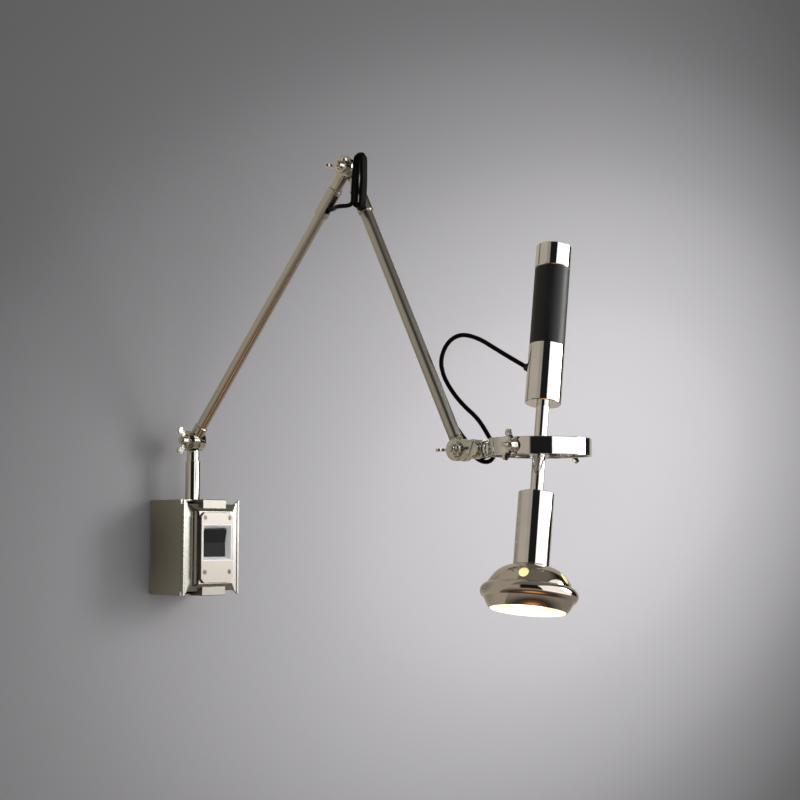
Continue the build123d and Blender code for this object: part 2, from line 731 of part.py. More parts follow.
def make_upper_tube():
    tube = bar_x(upper_tube_radius, upper_tube_start, upper_tube_end)
    tube -= bar_x(upper_bore, upper_tube_start - 1, upper_tube_end + 1)
    tube -= cord_hole()
    lead_hole = Pos(upper_arm - lead_exit, 0, 0) * bar_z(cord_radius + cord_hole_gap, -upper_tube_radius - 2, 0)
    return tube - lead_hole


def make_wrist_knuckle():
    """Far half of the wrist joint, its spigot in the upper tube."""
    knuckle = half_knuckle(-1, upper_tube_radius, wrist_shank, wrist_halving)
    return knuckle + bar_x(upper_bore - seat_gap, wrist_shank - 1, wrist_shank + tube_seat)


# ---- bracket ---------------------------------------------------------------------------------
def make_ring_bracket():
    """Near half of the wrist joint, with the socket of the ring's stem and the lock screw's boss."""
    mid = friction_disc_thick / 2 + moving_gap / 2
    eye = softened(bar_z(eye_radius, mid, eye_half_width), 0.8)
    neck = block((0, boss_offset), (-boss_radius + 1, boss_radius - 1), (mid, eye_half_width))
    body = block((eye_radius + 1, block_reach), (-block_height / 2, block_height / 2),
                 (-block_width / 2, block_width / 2))
    body = fillet(body.edges().filter_by(Axis.X), 3)
    boss = softened(bar_z(boss_radius, -eye_half_width, eye_half_width), 0.8)
    boss = Pos(boss_offset, 0, 0) * boss
    bracket = eye + neck + boss + body
    bracket -= bar_z(eye_radius + moving_gap + 0.4, -eye_half_width - 9, mid)
    bracket -= bar_z(bolt_radius + running_gap, 0, eye_half_width + 1)
    bracket -= bar_x(stem_radius + running_gap, stem_start - moving_gap, block_reach + 1)
    lock_hole = Pos(boss_offset, 0, 0) * bar_z(lock_shank + seat_gap, 0, eye_half_width + 1)
    return bracket - lock_hole


def make_lock_screw():
    """Slotted screw that clamps the ring's stem."""
    low = stem_radius + moving_gap
    top = eye_half_width + seat_gap + lock_head_height
    screw = bar_z(lock_shank, low, top)
    screw += softened(bar_z(lock_head_radius, top - lock_head_height, top), 0.8)
    screw -= block((-lock_head_radius, lock_head_radius), (-0.9, 0.9), (top - 1.6, top + 1))
    return Pos(boss_offset, 0, 0) * Rot(0, 0, 70) * screw


ring_inside = ring_radius - ring_wall


def make_ring_stem():
    """Stem of the gimbal ring: pin, flange and neck."""
    flange = block_reach + moving_gap
    face = ring_reach - ring_radius - seat_gap
    stem = bar_x(stem_radius, stem_start, face + ring_wall + stem_nut_thick + 2)
    stem += softened(bar_x(stem_flange_radius, flange, flange + stem_flange_thick), 0.6)
    return stem + bar_x(stem_neck_radius, flange + stem_flange_thick - 1, face - 2.2)


def make_stem_nut():
    """Nut on the stem inside the ring."""
    start = ring_reach - ring_inside + 1.0
    nut = extrude(RegularPolygon(stem_nut_radius, 6), stem_nut_thick)
    nut = Pos(start, 0, 0) * Rot(0, 90, 0) * nut
    return nut - bar_x(stem_radius + seat_gap, start - 1, start + stem_nut_thick + 1)


# ---- gimbal ----------------------------------------------------------------------------------
def hoop(radius, wall, height, edge):
    """Plain ring round Z."""
    ring = bar_z(radius, -height / 2, height / 2) - bar_z(radius - wall, -height, height)
    return chamfer(ring.edges().filter_by(GeomType.CIRCLE), edge)


def make_gimbal_ring():
    ring = hoop(ring_radius, ring_wall, ring_height, 0.5)
    ring -= bar_y(pivot_pin_radius + running_gap, -ring_radius - 1, ring_radius + 1)
    return ring - bar_x(stem_radius + seat_gap, -ring_radius - 1, -ring_inside + 5)


def make_inner_ring():
    ring = hoop(inner_ring_radius, inner_ring_wall, inner_ring_height, 0.5)
    ring -= bar_y(pivot_pin_radius + seat_gap, -inner_ring_radius - 1, inner_ring_radius + 1)
    return ring - bar_x(pivot_pin_radius + running_gap, -inner_ring_radius - 1, inner_ring_radius + 1)


def make_pivot_screws():
    """Two screws from the inner ring through the outer one, each with its washer."""
    root = inner_ring_radius - inner_ring_wall + 0.5
    screw = bar_y(pivot_pin_radius, -ring_radius - pivot_pin_length, -root)
    screw += bar_y(pivot_spacer_radius, -ring_inside + moving_gap, -inner_ring_radius - seat_gap)
    start = -ring_radius - moving_gap
    washer = bar_y(pivot_nut_flange, start - washer_thick, start)
    washer -= bar_y(pivot_pin_radius + seat_gap, start - washer_thick - 1, start + 1)
    return Compound([screw, washer, mirror(screw, Plane.XZ), mirror(washer, Plane.XZ)])


def pivot_wing_nut(side, turn):
    """Wing nut on a pivot screw; side is -1 towards the arms' nuts and +1 away."""
    seat = ring_radius + 2 * moving_gap + washer_thick
    nut = wing_nut(pivot_nut_flange, pivot_pin_radius + running_gap, turn)
    return Rot(-90 * side, 0, 0) * Pos(0, 0, seat) * nut


def make_trunnion_screws():
    """Two screws from the hub through the inner ring, with long knurled heads outside."""
    neck = inner_ring_radius + moving_gap
    head = neck + trunnion_neck
    screw = bar_x(pivot_pin_radius, hub_radius - 3, neck + 1)
    screw += bar_x(trunnion_neck_radius, neck, head)
    screw += softened(bar_x(trunnion_head_radius, head - 0.5, head + trunnion_head_length), 0.8)
    return Compound([screw, mirror(screw, Plane.YZ)])


def make_rod_hub():
    """Turned hub clamped round the rod."""
    hub = softened(bar_z(hub_radius, -hub_height / 2, hub_height / 2), 1.2)
    reach = inner_ring_radius - inner_ring_wall - moving_gap - 0.5
    hub += bar_x(pivot_spacer_radius + 0.5, -reach, reach)
    hub -= bar_z(rod_radius + seat_gap, -hub_height, hub_height)
    return hub - bar_x(pivot_pin_radius + seat_gap, -reach - 1, reach + 1)


# ---- lamp head -------------------------------------------------------------------------------
rod_top = barrel_bottom + end_wall + rod_thread
rod_bottom = cover_top - end_wall - rod_thread


def make_head_rod():
    rod = bar_z(rod_radius, rod_bottom, rod_top)
    return rod - bar_z(rod_bore, rod_bottom - 1, rod_top + 1)


def make_rod_nuts():
    """Hexagon nuts on the rod's ends, inside the barrel and the cover."""
    nut = extrude(RegularPolygon(rod_nut_radius, 6), rod_nut_height)
    nut -= bar_z(rod_radius + seat_gap, -1, rod_nut_height + 1)
    upper = Pos(0, 0, barrel_bottom + end_wall + seat_gap) * nut
    lower = Pos(0, 0, cover_top - end_wall - seat_gap - rod_nut_height) * nut
    return Compound([upper, lower])


def gland_place():
    """Frame on the head's axis at the gland, Z pointing out of it."""
    return Pos(0, 0, gland_height) * Rot(0, 0, gland_angle) * Rot(0, 90 - gland_rise, 0)


gland_mouth = handle_radius / cos(radians(gland_rise)) + gland_length


def gland_bore(clearance):
    return gland_place() * bar_z(cord_radius + 0.8 + clearance, 0, gland_mouth)


def make_handle_barrel():
    """Polished cup below the grip, with the gland's hole."""
    cup = bar_z(handle_radius, barrel_bottom, grip_bottom)
    cup = softened(cup, 0.8)
    cup -= bar_z(core_radius + seat_gap, barrel_bottom + end_wall, grip_bottom + 1)
    cup -= bar_z(rod_radius + seat_gap, barrel_bottom - 1, grip_bottom)
    return cup - gland_bore(seat_gap)


def make_handle_core():
    """Inner tube that joins barrel, grip and cap."""
    low = barrel_bottom + end_wall + seat_gap
    high = cap_top - cap_thick - seat_gap
    core = bar_z(core_radius, low, high) - bar_z(core_radius - core_wall, low - 1, high + 1)
    return core - gland_bore(seat_gap)


def make_grip_sleeve():
    """Matt black grip."""
    grip = bar_z(grip_radius, grip_bottom + seat_gap, grip_top - seat_gap)
    grip = softened(grip, 0.5)
    return grip - bar_z(core_radius + seat_gap, grip_bottom - 1, grip_top + 1)


def make_handle_cap():
    cap = softened(bar_z(handle_radius, grip_top, cap_top), 1.2)
    return cap - bar_z(core_radius + seat_gap, grip_top - 1, cap_top - cap_thick)


def make_cable_gland():
    """Small bush where the cord goes into the handle."""
    outside = softened(bar_z(gland_radius, 0, gland_mouth), 0.8)
    bush = gland_place() * outside - bar_z(handle_radius + seat_gap, barrel_bottom, grip_bottom)
    spigot = gland_place() * bar_z(cord_radius + 0.8, core_radius - core_wall, gland_mouth - gland_length)
    bore = gland_place() * bar_z(cord_radius + seat_gap, 0, gland_mouth + 1)
    return bush + spigot - bore


def make_lampholder_cover():
    """Polished cover of the lampholder, closed at the top."""
    cover = softened(bar_z(cover_radius, cover_bottom, cover_top), 0.8)
    cover -= bar_z(cover_radius - cover_wall, cover_bottom - 1, cover_top - end_wall)
    return cover - bar_z(rod_radius + seat_gap, cover_top - end_wall - 1, cover_top + 1)


lampholder_top = rod_bottom - seat_gap
lampholder_mouth = lampholder_top - lampholder_length


def make_lampholder():
    """Screw lampholder on the rod's lower end, its skirt seated in the cover."""
    body = bar_z(lampholder_radius, lampholder_mouth, lampholder_top)
    body += bar_z(cover_radius - cover_wall - seat_gap, lampholder_mouth + holder_skirt_start,
                  lampholder_mouth + holder_skirt_end)
    return body - bar_z(base_radius + 0.3, lampholder_mouth - 1, lampholder_mouth + base_length + 4)


def shade_outline(shift):
    """Half section of the shade's outer face, from the neck to the opening."""
    top = cover_bottom - seat_gap
    return [
        ThreePointArc((cover_radius + 0.5 - shift, top - shift), (dome_middle_radius - shift * 0.7, dome_middle - shift * 0.7),
                      (dome_rim_radius - shift, dome_rim)),
        ThreePointArc((dome_rim_radius - shift, dome_rim), (bead_radius - shift, bead_middle),
                      (skirt_top_radius - shift, skirt_top)),
        Line((skirt_top_radius - shift, skirt_top), (opening_radius - shift, opening_plane)),
    ]


def make_shade():
    """Spun shade: neck, dome with round vent holes, rolled bead and tapered skirt."""
    top = cover_bottom - seat_gap
    neck = cover_radius - cover_wall - seat_gap
    outer = shade_outline(0)
    inner = shade_outline(shade_wall)
    inner_top = (cover_radius + 0.5 - shade_wall, top - shade_wall)
    closing = [
        Line((opening_radius, opening_plane), (opening_radius - shade_wall, opening_plane)),
        Line(inner_top, (neck - shade_wall, top - shade_wall)),
        Line((neck - shade_wall, top - shade_wall), (neck - shade_wall, top + shade_spigot)),
        Line((neck - shade_wall, top + shade_spigot), (neck, top + shade_spigot)),
        Line((neck, top + shade_spigot), (neck, top)),
        Line((neck, top), (cover_radius + 0.5, top)),
    ]
    profile = make_face(Wire(outer + inner + closing))
    shade = revolve(Plane.XZ * profile, Axis.Z)
    for i in range(vent_count):
        turn = vent_start + 360.0 / vent_count * i
        hole = Rot(0, vent_slope, 0) * Cylinder(vent_radius, vent_drill)
        shade -= Rot(0, 0, turn) * (Pos(vent_circle, 0, vent_height) * hole)
    return shade


def make_bulb_base():
    high = lampholder_mouth + base_length
    base = bar_z(base_radius, lampholder_mouth, high)
    return base + Pos(0, 0, high + 1.0) * Cone(base_radius - 3, 4.5, 2)


def make_bulb_glass():
    """Reflector bulb: neck, flared reflector and shallow front, hollow inside."""
    def outline(inset):
        top = lampholder_mouth - seat_gap - inset
        neck = bulb_neck_radius - inset
        wide = bulb_radius - inset
        front = bulb_front + inset
        rim = wide - 1.2
        cap = (rim ** 2 + (bulb_rim - front) ** 2) / (2 * (bulb_rim - front))
        half = asin(rim / cap) / 2
        edge = [Line((0, top), (neck, top)), Line((neck, top), (neck, cover_bottom - 1)),
                ThreePointArc((neck, cover_bottom - 1), (neck + bulb_flare, bulb_flare_middle),
                              (wide - 0.8, bulb_shoulder)),
                Line((wide - 0.8, bulb_shoulder), (wide, bulb_edge)), Line((wide, bulb_edge), (rim, bulb_rim)),
                ThreePointArc((rim, bulb_rim), (cap * sin(half), front + cap * (1 - cos(half))), (0, front)),
                Line((0, front), (0, top))]
        return revolve(Plane.XZ * make_face(Wire(edge)), Axis.Z)
    return outline(0) - outline(bulb_wall)


# ---- cords -----------------------------------------------------------------------------------
def beside(pivot, places):
    """Points given as outward, up and aside from a pivot."""
    return [point_in(arm_place(*pivot, 0), *place) for place in places]


def cord_along(name, points):
    """Cord through the points; each corner is an arc as large as its runs allow."""
    runs = [(end - start).length for start, end in zip(points, points[1:])]
    radii = []
    for i in range(1, len(points) - 1):
        turn = (points[i] - points[i - 1]).get_angle(points[i + 1] - points[i])
        radii.append(0.45 * min(runs[i - 1], runs[i]) / tan(radians(turn) / 2))
    print(name, "bend radii", [round(radius, 1) for radius in radii])
    path = FilletPolyline(*points, radius=radii)
    return sweep(Plane(origin=path @ 0, z_dir=path % 0) * Circle(cord_radius), path=path)


def hank_edges():
    """Centre line of the hank: out of the arm, round the loops and away, in the hank's frame."""
    r = hank_loop_radius
    half = hank_run / 2
    low = -half - r
    step = Vector(hank_lean, 0, hank_pitch)
    arm_face = upper_collar_radius - hank_place[2]
    edges = [Line((-hank_tail, low, arm_face - 4), (-hank_tail, low, -hank_tail)),
             TangentArc((-hank_tail, low, -hank_tail), (0, low, 0), tangent=(0, 0, 1)),
             TangentArc((0, low, 0), (r, -half, 0), tangent=(1, 0, 0))]
    for k in range(hank_turns):
        start = step * k + Vector(r, -half, 0)
        over = step * (k + 1)
        end = over + Vector(r, half, 0)
        middle = (start + end) * 0.5
        edges += [TangentArc(start, middle, tangent=(0, 1, 0)),
                  TangentArc(end, middle, tangent=(0, -1, 0)),
                  ThreePointArc(end, over + Vector(0, half + r, 0), over + Vector(-r, half, 0)),
                  Line(over + Vector(-r, half, 0), over + Vector(-r, -half, 0))]
        if k < hank_turns - 1:
            edges.append(ThreePointArc(over + Vector(-r, -half, 0), over + Vector(0, low, 0),
                                       over + Vector(r, -half, 0)))
    last = over + Vector(-r, -half, 0)
    away = last + Vector(-hank_exit, -hank_exit, 0)
    return edges + [TangentArc(last, away, tangent=(0, -1, 0)), Line(away, away - Vector(hank_end, 0, 0))]


def least_gap(edges):
    """Smallest free distance between stretches of the cord that aren't neighbours."""
    points = []
    length = 0.0
    for edge in edges:
        count = max(int(edge.length), 4)
        points += [(length + edge.length * i / count, edge @ (i / count)) for i in range(count)]
        length += edge.length
    apart = 4 * pi * cord_radius
    return min((p - q).length for a, p in points for b, q in points if b - a > apart) - 2 * cord_radius


def make_elbow_hank():
    """The cord's spare length at the elbow, as one unbroken tube in long loops."""
    edges = hank_edges()
    print("hank least gap", round(least_gap(edges), 2))
    path = Wire(edges)
    return sweep(Plane(origin=path @ 0, z_dir=path % 0) * Circle(cord_radius), path=path)


def half_way(start, end):
    return (start + end) * 0.5


hank_last = hank_edges()[-1]
elbow_route = [point_in(hank_frame, *(hank_last @ 1 - Vector(cord_joint, 0, 0)))] + beside(elbow, [
    (7, -57.2, 32.7), (-8, -54.5, 17), (-21, -53.5, 5.8)])
elbow_route += [point_in(elbow_back_frame, 60.5, 2.8, 1.0)]

# From the upper arm's lower end, behind the wrist, under the bracket and up behind it.
tube_exit = point_in(wrist_back_frame, lead_exit, 0, -3)
wrist_route = [tube_exit] + beside(wrist, [
    (-14.2, 30.9, -17.5), (-2, 21, -19), (13, 8, -19), (14.5, -7, -17), (24, -21.5, -12)])
ring_route = beside(wrist, [(24, -21.5, -12), (34, -19.5, -14.5), (36.5, -9, -16.5), (34.5, 3, -17),
                            (29, 18, -14.5)])
head_route = beside(wrist, [(29, 18, -14.5), (16.5, 37.5, -13), (-3.5, 54, -11.6), (-19.5, 72.5, -10.4),
                            (-31, 92, -9.6), (-34.5, 111, -9.4), (-25, 131.5, -9.9), (-7, 140.5, -11.3),
                            (17, 134, -13), (40, 119.5, -14.8)])
mouth = head_frame * gland_place()
head_end = point_in(mouth, 0, 0, gland_mouth - 4)
head_last = point_in(mouth, 0, 0, gland_mouth + 16)

wrist_end = half_way(wrist_route[-2], wrist_route[-1])
ring_end = half_way(ring_route[-2], ring_route[-1])
head_split = half_way(head_route[4], head_route[5])


# ---- build and save --------------------------------------------------------------------------
save("back_plate", make_back_plate())
save("cable_grommet", make_cable_grommet())
save("box_body", make_box_body())
save("front_frame", make_front_frame())
save("frame_tabs", make_frame_tabs())
save("switch_plate", make_switch_plate())
save("plate_screws", make_plate_screws())
save("switch_insert", make_switch_insert())
save("rocker", make_rocker())
save("switch_housing", make_switch_housing())
save("terminal_block", make_terminal_block())
save("post_sleeve", make_post_sleeve())
save("post_nut", make_post_nut())
save("post_spindle", make_post_spindle())
save("spindle_retainer", make_spindle_retainer())

for joint, place, turn in (("shoulder", lower_frame, 35), ("elbow", upper_frame, 73),
                           ("wrist", bracket_frame, 5)):
    save(f"{joint}_bolt", place * make_bolt())
    save(f"{joint}_washers", place * make_washers())
    save(f"{joint}_wing_nut", place * joint_wing_nut(turn))

save("lower_arm_knuckle", lower_frame * make_lower_arm_knuckle())
save("lower_tube", lower_frame * make_lower_tube())
save("lower_collar", elbow_back_frame * make_lower_collar())
save("elbow_knuckle", elbow_back_frame * make_elbow_knuckle())
save("upper_arm_knuckle", upper_frame * make_upper_arm_knuckle())
save("upper_tube", upper_frame * make_upper_tube())
save("wrist_knuckle", wrist_back_frame * make_wrist_knuckle())

save("ring_bracket", bracket_frame * make_ring_bracket())
save("lock_screw", bracket_frame * make_lock_screw())
save("ring_stem", bracket_frame * make_ring_stem())
save("stem_nut", bracket_frame * make_stem_nut())
save("gimbal_ring", ring_frame * make_gimbal_ring())
save("inner_ring", inner_frame * make_inner_ring())
save("pivot_screws", inner_frame * make_pivot_screws())
save("near_pivot_nut", inner_frame * pivot_wing_nut(-1, 80))
save("far_pivot_nut", inner_frame * pivot_wing_nut(1, 60))

save("trunnion_screws", head_frame * make_trunnion_screws())
save("rod_hub", head_frame * make_rod_hub())
save("head_rod", head_frame * make_head_rod())
save("rod_nuts", head_frame * make_rod_nuts())
save("handle_barrel", head_frame * make_handle_barrel())
save("handle_core", head_frame * make_handle_core())
save("grip_sleeve", head_frame * make_grip_sleeve())
save("handle_cap", head_frame * make_handle_cap())
save("cable_gland", head_frame * make_cable_gland())
save("lampholder_cover", head_frame * make_lampholder_cover())
save("lampholder", head_frame * make_lampholder())
save("shade", head_frame * make_shade())
save("bulb_base", head_frame * make_bulb_base())
save("bulb_glass", head_frame * make_bulb_glass())

save("elbow_hank", hank_frame * make_elbow_hank())
save("elbow_lead", cord_along("elbow lead", elbow_route))
save("wrist_lead", cord_along("wrist lead", wrist_route[:-1] + [wrist_end]))
save("ring_lead", cord_along("ring lead", [wrist_end] + ring_route[:-1] + [ring_end]))
save("lower_head_cord", cord_along("lower head cord", [ring_end] + head_route[:5] + [head_split]))
save("upper_head_cord", cord_along("upper head cord", [head_split] + head_route[5:] + [head_last, head_end]))
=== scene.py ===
import bmesh
import bpy
from math import atan2, cos, pi, radians, sin
from mathutils import Matrix, Vector


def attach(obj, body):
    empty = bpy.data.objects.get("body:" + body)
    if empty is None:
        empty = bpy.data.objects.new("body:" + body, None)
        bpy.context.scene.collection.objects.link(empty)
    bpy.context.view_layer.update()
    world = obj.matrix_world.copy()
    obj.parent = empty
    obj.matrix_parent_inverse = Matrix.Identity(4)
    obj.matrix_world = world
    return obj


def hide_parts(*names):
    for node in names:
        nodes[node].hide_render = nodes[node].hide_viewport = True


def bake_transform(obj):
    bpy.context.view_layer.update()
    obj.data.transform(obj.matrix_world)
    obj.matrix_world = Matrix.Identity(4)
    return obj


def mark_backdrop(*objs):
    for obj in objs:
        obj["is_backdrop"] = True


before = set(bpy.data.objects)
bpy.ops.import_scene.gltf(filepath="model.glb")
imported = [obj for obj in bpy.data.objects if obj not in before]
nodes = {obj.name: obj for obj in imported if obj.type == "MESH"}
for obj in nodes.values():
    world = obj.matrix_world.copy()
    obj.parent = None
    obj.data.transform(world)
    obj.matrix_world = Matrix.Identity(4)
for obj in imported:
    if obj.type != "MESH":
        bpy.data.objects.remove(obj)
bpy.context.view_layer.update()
print("frame loaded:", len(nodes), "CAD nodes")

# where the arms stand at rest, the same values as the CAD, in metres and degrees
rest = {
    "yaw": 9.0, "postStand": 0.044, "shoulderUp": 0.1425,
    "lowerArm": 0.4275, "lowerAngle": 52.5,
    "upperArm": 0.4015, "upperAngle": -65.3,
    "bracketAngle": -0.4, "ringReach": 0.1075,
    "innerTilt": -2.0, "headTilt": -11.8,
}
outward = Vector((sin(radians(rest["yaw"])), -cos(radians(rest["yaw"])), 0))
nutSide = Vector((-cos(radians(rest["yaw"])), -sin(radians(rest["yaw"])), 0))


def armFrame(pivot, angle):
    # x along the arm, y up in the arms' plane, z towards the wing nuts
    a = radians(angle)
    x = outward * cos(a) + Vector((0, 0, sin(a)))
    y = -outward * sin(a) + Vector((0, 0, cos(a)))
    at = Vector((0, -rest["postStand"], 0)) + outward * pivot[0] + Vector((0, 0, pivot[1]))
    return Matrix.Translation(at) @ Matrix((x, y, nutSide)).transposed().to_4x4()


def armEnd(pivot, length, angle):
    return pivot[0] + length * cos(radians(angle)), pivot[1] + length * sin(radians(angle))


def turnAbout(axis, angle):
    return Matrix.Rotation(radians(angle), 4, axis)


shoulder = (0.0, rest["shoulderUp"])
elbow = armEnd(shoulder, rest["lowerArm"], rest["lowerAngle"])
wrist = armEnd(elbow, rest["upperArm"], rest["upperAngle"])
lowerFrame = armFrame(shoulder, rest["lowerAngle"])
elbowBackFrame = armFrame(elbow, rest["lowerAngle"] + 180)
upperFrame = armFrame(elbow, rest["upperAngle"])
wristBackFrame = armFrame(wrist, rest["upperAngle"] + 180)
bracketFrame = armFrame(wrist, rest["bracketAngle"])
ringFrame = bracketFrame @ Matrix.Translation((rest["ringReach"], 0, 0)) @ turnAbout("X", -90)
innerFrame = ringFrame @ turnAbout("Y", rest["innerTilt"])
headFrame = innerFrame @ turnAbout("X", rest["headTilt"])

# ---------- camera, wall, floor and lamps
camera = {
    "place": (-1.260, -1.6485, 0.0178), "azimuth": 46.0, "rise": 5.1, "lens": 67.5,
}
studio = {
    "wallSize": 9.0, "wallGap": 0.0004, "floorHeight": -0.86, "floorGrey": 0.62,
    "worldFill": 0.30, "lampColour": (1.0, 0.99, 0.97), "lampAim": (0.05, -0.45, 0.15),
    # where the painted pool of light on the wall lies, how large it is and how it is turned
    "poolMiddle": (0.9, 0.0, 0.1), "poolSize": (1.8, 1.0, 1.0), "poolTurn": -15.0,
}
panels = {
    "keyPanel": {"turn": 64.5, "rise": 6.0, "distance": 1.75, "size": (3.0, 2.4), "power": 32.0},
    "sidePanel": {"turn": 97.0, "rise": 13.0, "distance": 1.9, "size": (0.8, 0.9), "power": 20.0},
}
# what polished metal sees of the room; turns run from the camera's side to its right, in degrees
room = {
    "darkFrom": -27.0, "darkTo": 140.0, "edge": 2.0,
    "taupe": (0.46, 0.42, 0.35), "dark": (0.012, 0.012, 0.013),
    "bandTop": (0.62, 0.80),    # heights between which the dark side ends
    # where the painted warm pool that metal sees on the floor lies, and how far it reaches
    "paintedWarmPlace": (-0.25, -0.88), "paintedWarmReach": 1.3,
    "paintedShadowReach": 0.45,       # how far the painted shadow of the box reaches on the wall that metal sees
}


def linkIt(name, data):
    obj = bpy.data.objects.new(name, data)
    bpy.context.scene.collection.objects.link(obj)
    return obj


azimuth, rise = radians(camera["azimuth"]), radians(camera["rise"])
look = Vector((sin(azimuth) * cos(rise), cos(azimuth) * cos(rise), sin(rise)))
eye = bpy.data.cameras.new("photoCamera")
eye.lens = camera["lens"]
eye.sensor_width = 36
eye.clip_end = 50
eyeObject = linkIt("photoCamera", eye)
eyeObject.location = camera["place"]
eyeObject.rotation_euler = look.to_track_quat("-Z", "Y").to_euler()
bpy.context.scene.camera = eyeObject
bpy.context.scene.view_settings.view_transform = "Standard"


def towardsEye(turn, lift=0.0):
    # level direction, turned from the camera's side to its right, seen from the lamp
    back, right = Vector((-sin(azimuth), -cos(azimuth), 0)), Vector((cos(azimuth), -sin(azimuth), 0))
    level = back * cos(radians(turn)) + right * sin(radians(turn))
    return level * cos(radians(lift)) + Vector((0, 0, sin(radians(lift))))


def addPanel(name, facts):
    lamp = bpy.data.lights.new(name, "AREA")
    lamp.shape = "RECTANGLE"
    lamp.size, lamp.size_y = facts["size"]
    lamp.energy = facts["power"]
    lamp.color = studio["lampColour"]
    panel = linkIt(name, lamp)
    direction = towardsEye(facts["turn"], facts["rise"])
    panel.location = Vector(studio["lampAim"]) + direction * facts["distance"]
    panel.rotation_euler = direction.to_track_quat("Z", "Y").to_euler()


for name, facts in panels.items():   # the side panel throws the shadow to the left
    addPanel(name, facts)


# ---------- small helpers for shaders
def newMaterial(name):
    mat = bpy.data.materials.new(name)
    mat.use_nodes = True
    tree = mat.node_tree
    shader = tree.nodes["Principled BSDF"]
    return mat, tree, shader


def addNode(tree, kind, at, **settings):
    node = tree.nodes.new(kind)
    node.location = at
    for key, value in settings.items():
        setattr(node, key, value)
    return node


def setRamp(node, stops):
    ramp = node.color_ramp
    while len(ramp.elements) > 2:
        ramp.elements.remove(ramp.elements[-1])
    for i, (place, colour) in enumerate(stops):
        stop = ramp.elements[i] if i < 2 else ramp.elements.new(place)
        stop.position = place
        stop.color = (*colour, 1.0) if len(colour) == 3 else colour


def grey(value):
    return (value, value, value)


def objectCoordinates(tree, at=(-1200, 0)):
    return addNode(tree, "ShaderNodeTexCoord", at).outputs["Object"]


def laidAlong(tree, frameMatrix, stretch=(1.0, 1.0, 1.0)):
    # object coordinates turned so that x runs along a tube, then stretched for a grain
    turn = addNode(tree, "ShaderNodeMapping", (-1000, 0))
    back = frameMatrix.inverted()
    turn.inputs["Rotation"].default_value = back.to_euler()
    turn.inputs["Location"].default_value = back.translation
    tree.links.new(objectCoordinates(tree), turn.inputs["Vector"])
    squeeze = addNode(tree, "ShaderNodeMapping", (-820, 0))
    squeeze.inputs["Scale"].default_value = stretch
    tree.links.new(turn.outputs["Vector"], squeeze.inputs["Vector"])
    return squeeze.outputs["Vector"]


# ---------- shared shader groups
def newGroup(name, ins, outs):
    group = bpy.data.node_groups.new(name, "ShaderNodeTree")
    for label, kind, value in ins:
        socket = group.interface.new_socket(label, in_out="INPUT", socket_type=kind)
        if value is not None:
            socket.default_value = value
    for label, kind in outs:
        group.interface.new_socket(label, in_out="OUTPUT", socket_type=kind)
    start = addNode(group, "NodeGroupInput", (-900, 0))
    end = addNode(group, "NodeGroupOutput", (700, 0))
    return group, start, end


def mathNode(tree, operation, first, second, at=(0, 0)):
    node = addNode(tree, "ShaderNodeMath", at, operation=operation)
    for i, value in enumerate((first, second)):
        if isinstance(value, (int, float)):
            node.inputs[i].default_value = value
        else:
            tree.links.new(value, node.inputs[i])
    return node.outputs[0]


def makeHandling():
    # soft smudges and hair-fine scratches, as on handled metal
    group, start, end = newGroup(
        "handling",
        [("Vector", "NodeSocketVector", None), ("Smudge Scale", "NodeSocketFloat", 18.0),
         ("Scratch Scale", "NodeSocketFloat", 260.0), ("Low", "NodeSocketFloat", 0.05),
         ("High", "NodeSocketFloat", 0.12)],
        [("Roughness", "NodeSocketFloat"), ("Mask", "NodeSocketFloat"), ("Height", "NodeSocketFloat")])
    links = group.links
    smudge = addNode(group, "ShaderNodeTexNoise", (-600, 150))
    smudge.inputs["Detail"].default_value = 4.0
    smudge.inputs["Roughness"].default_value = 0.62
    links.new(start.outputs["Vector"], smudge.inputs["Vector"])
    links.new(start.outputs["Smudge Scale"], smudge.inputs["Scale"])
    spread = addNode(group, "ShaderNodeMapRange", (-380, 150))
    spread.inputs["From Min"].default_value = 0.35
    spread.inputs["From Max"].default_value = 0.72
    links.new(smudge.outputs["Fac"], spread.inputs["Value"])
    hair = addNode(group, "ShaderNodeTexNoise", (-600, -150))
    hair.inputs["Detail"].default_value = 3.0
    links.new(start.outputs["Vector"], hair.inputs["Vector"])
    links.new(start.outputs["Scratch Scale"], hair.inputs["Scale"])
    span = mathNode(group, "SUBTRACT", start.outputs["High"], start.outputs["Low"], (-380, -60))
    part = mathNode(group, "MULTIPLY", span, spread.outputs["Result"], (-180, -60))
    rough = mathNode(group, "ADD", part, start.outputs["Low"], (20, -60))
    links.new(rough, end.inputs["Roughness"])
    links.new(spread.outputs["Result"], end.inputs["Mask"])
    links.new(hair.outputs["Fac"], end.inputs["Height"])
    return group


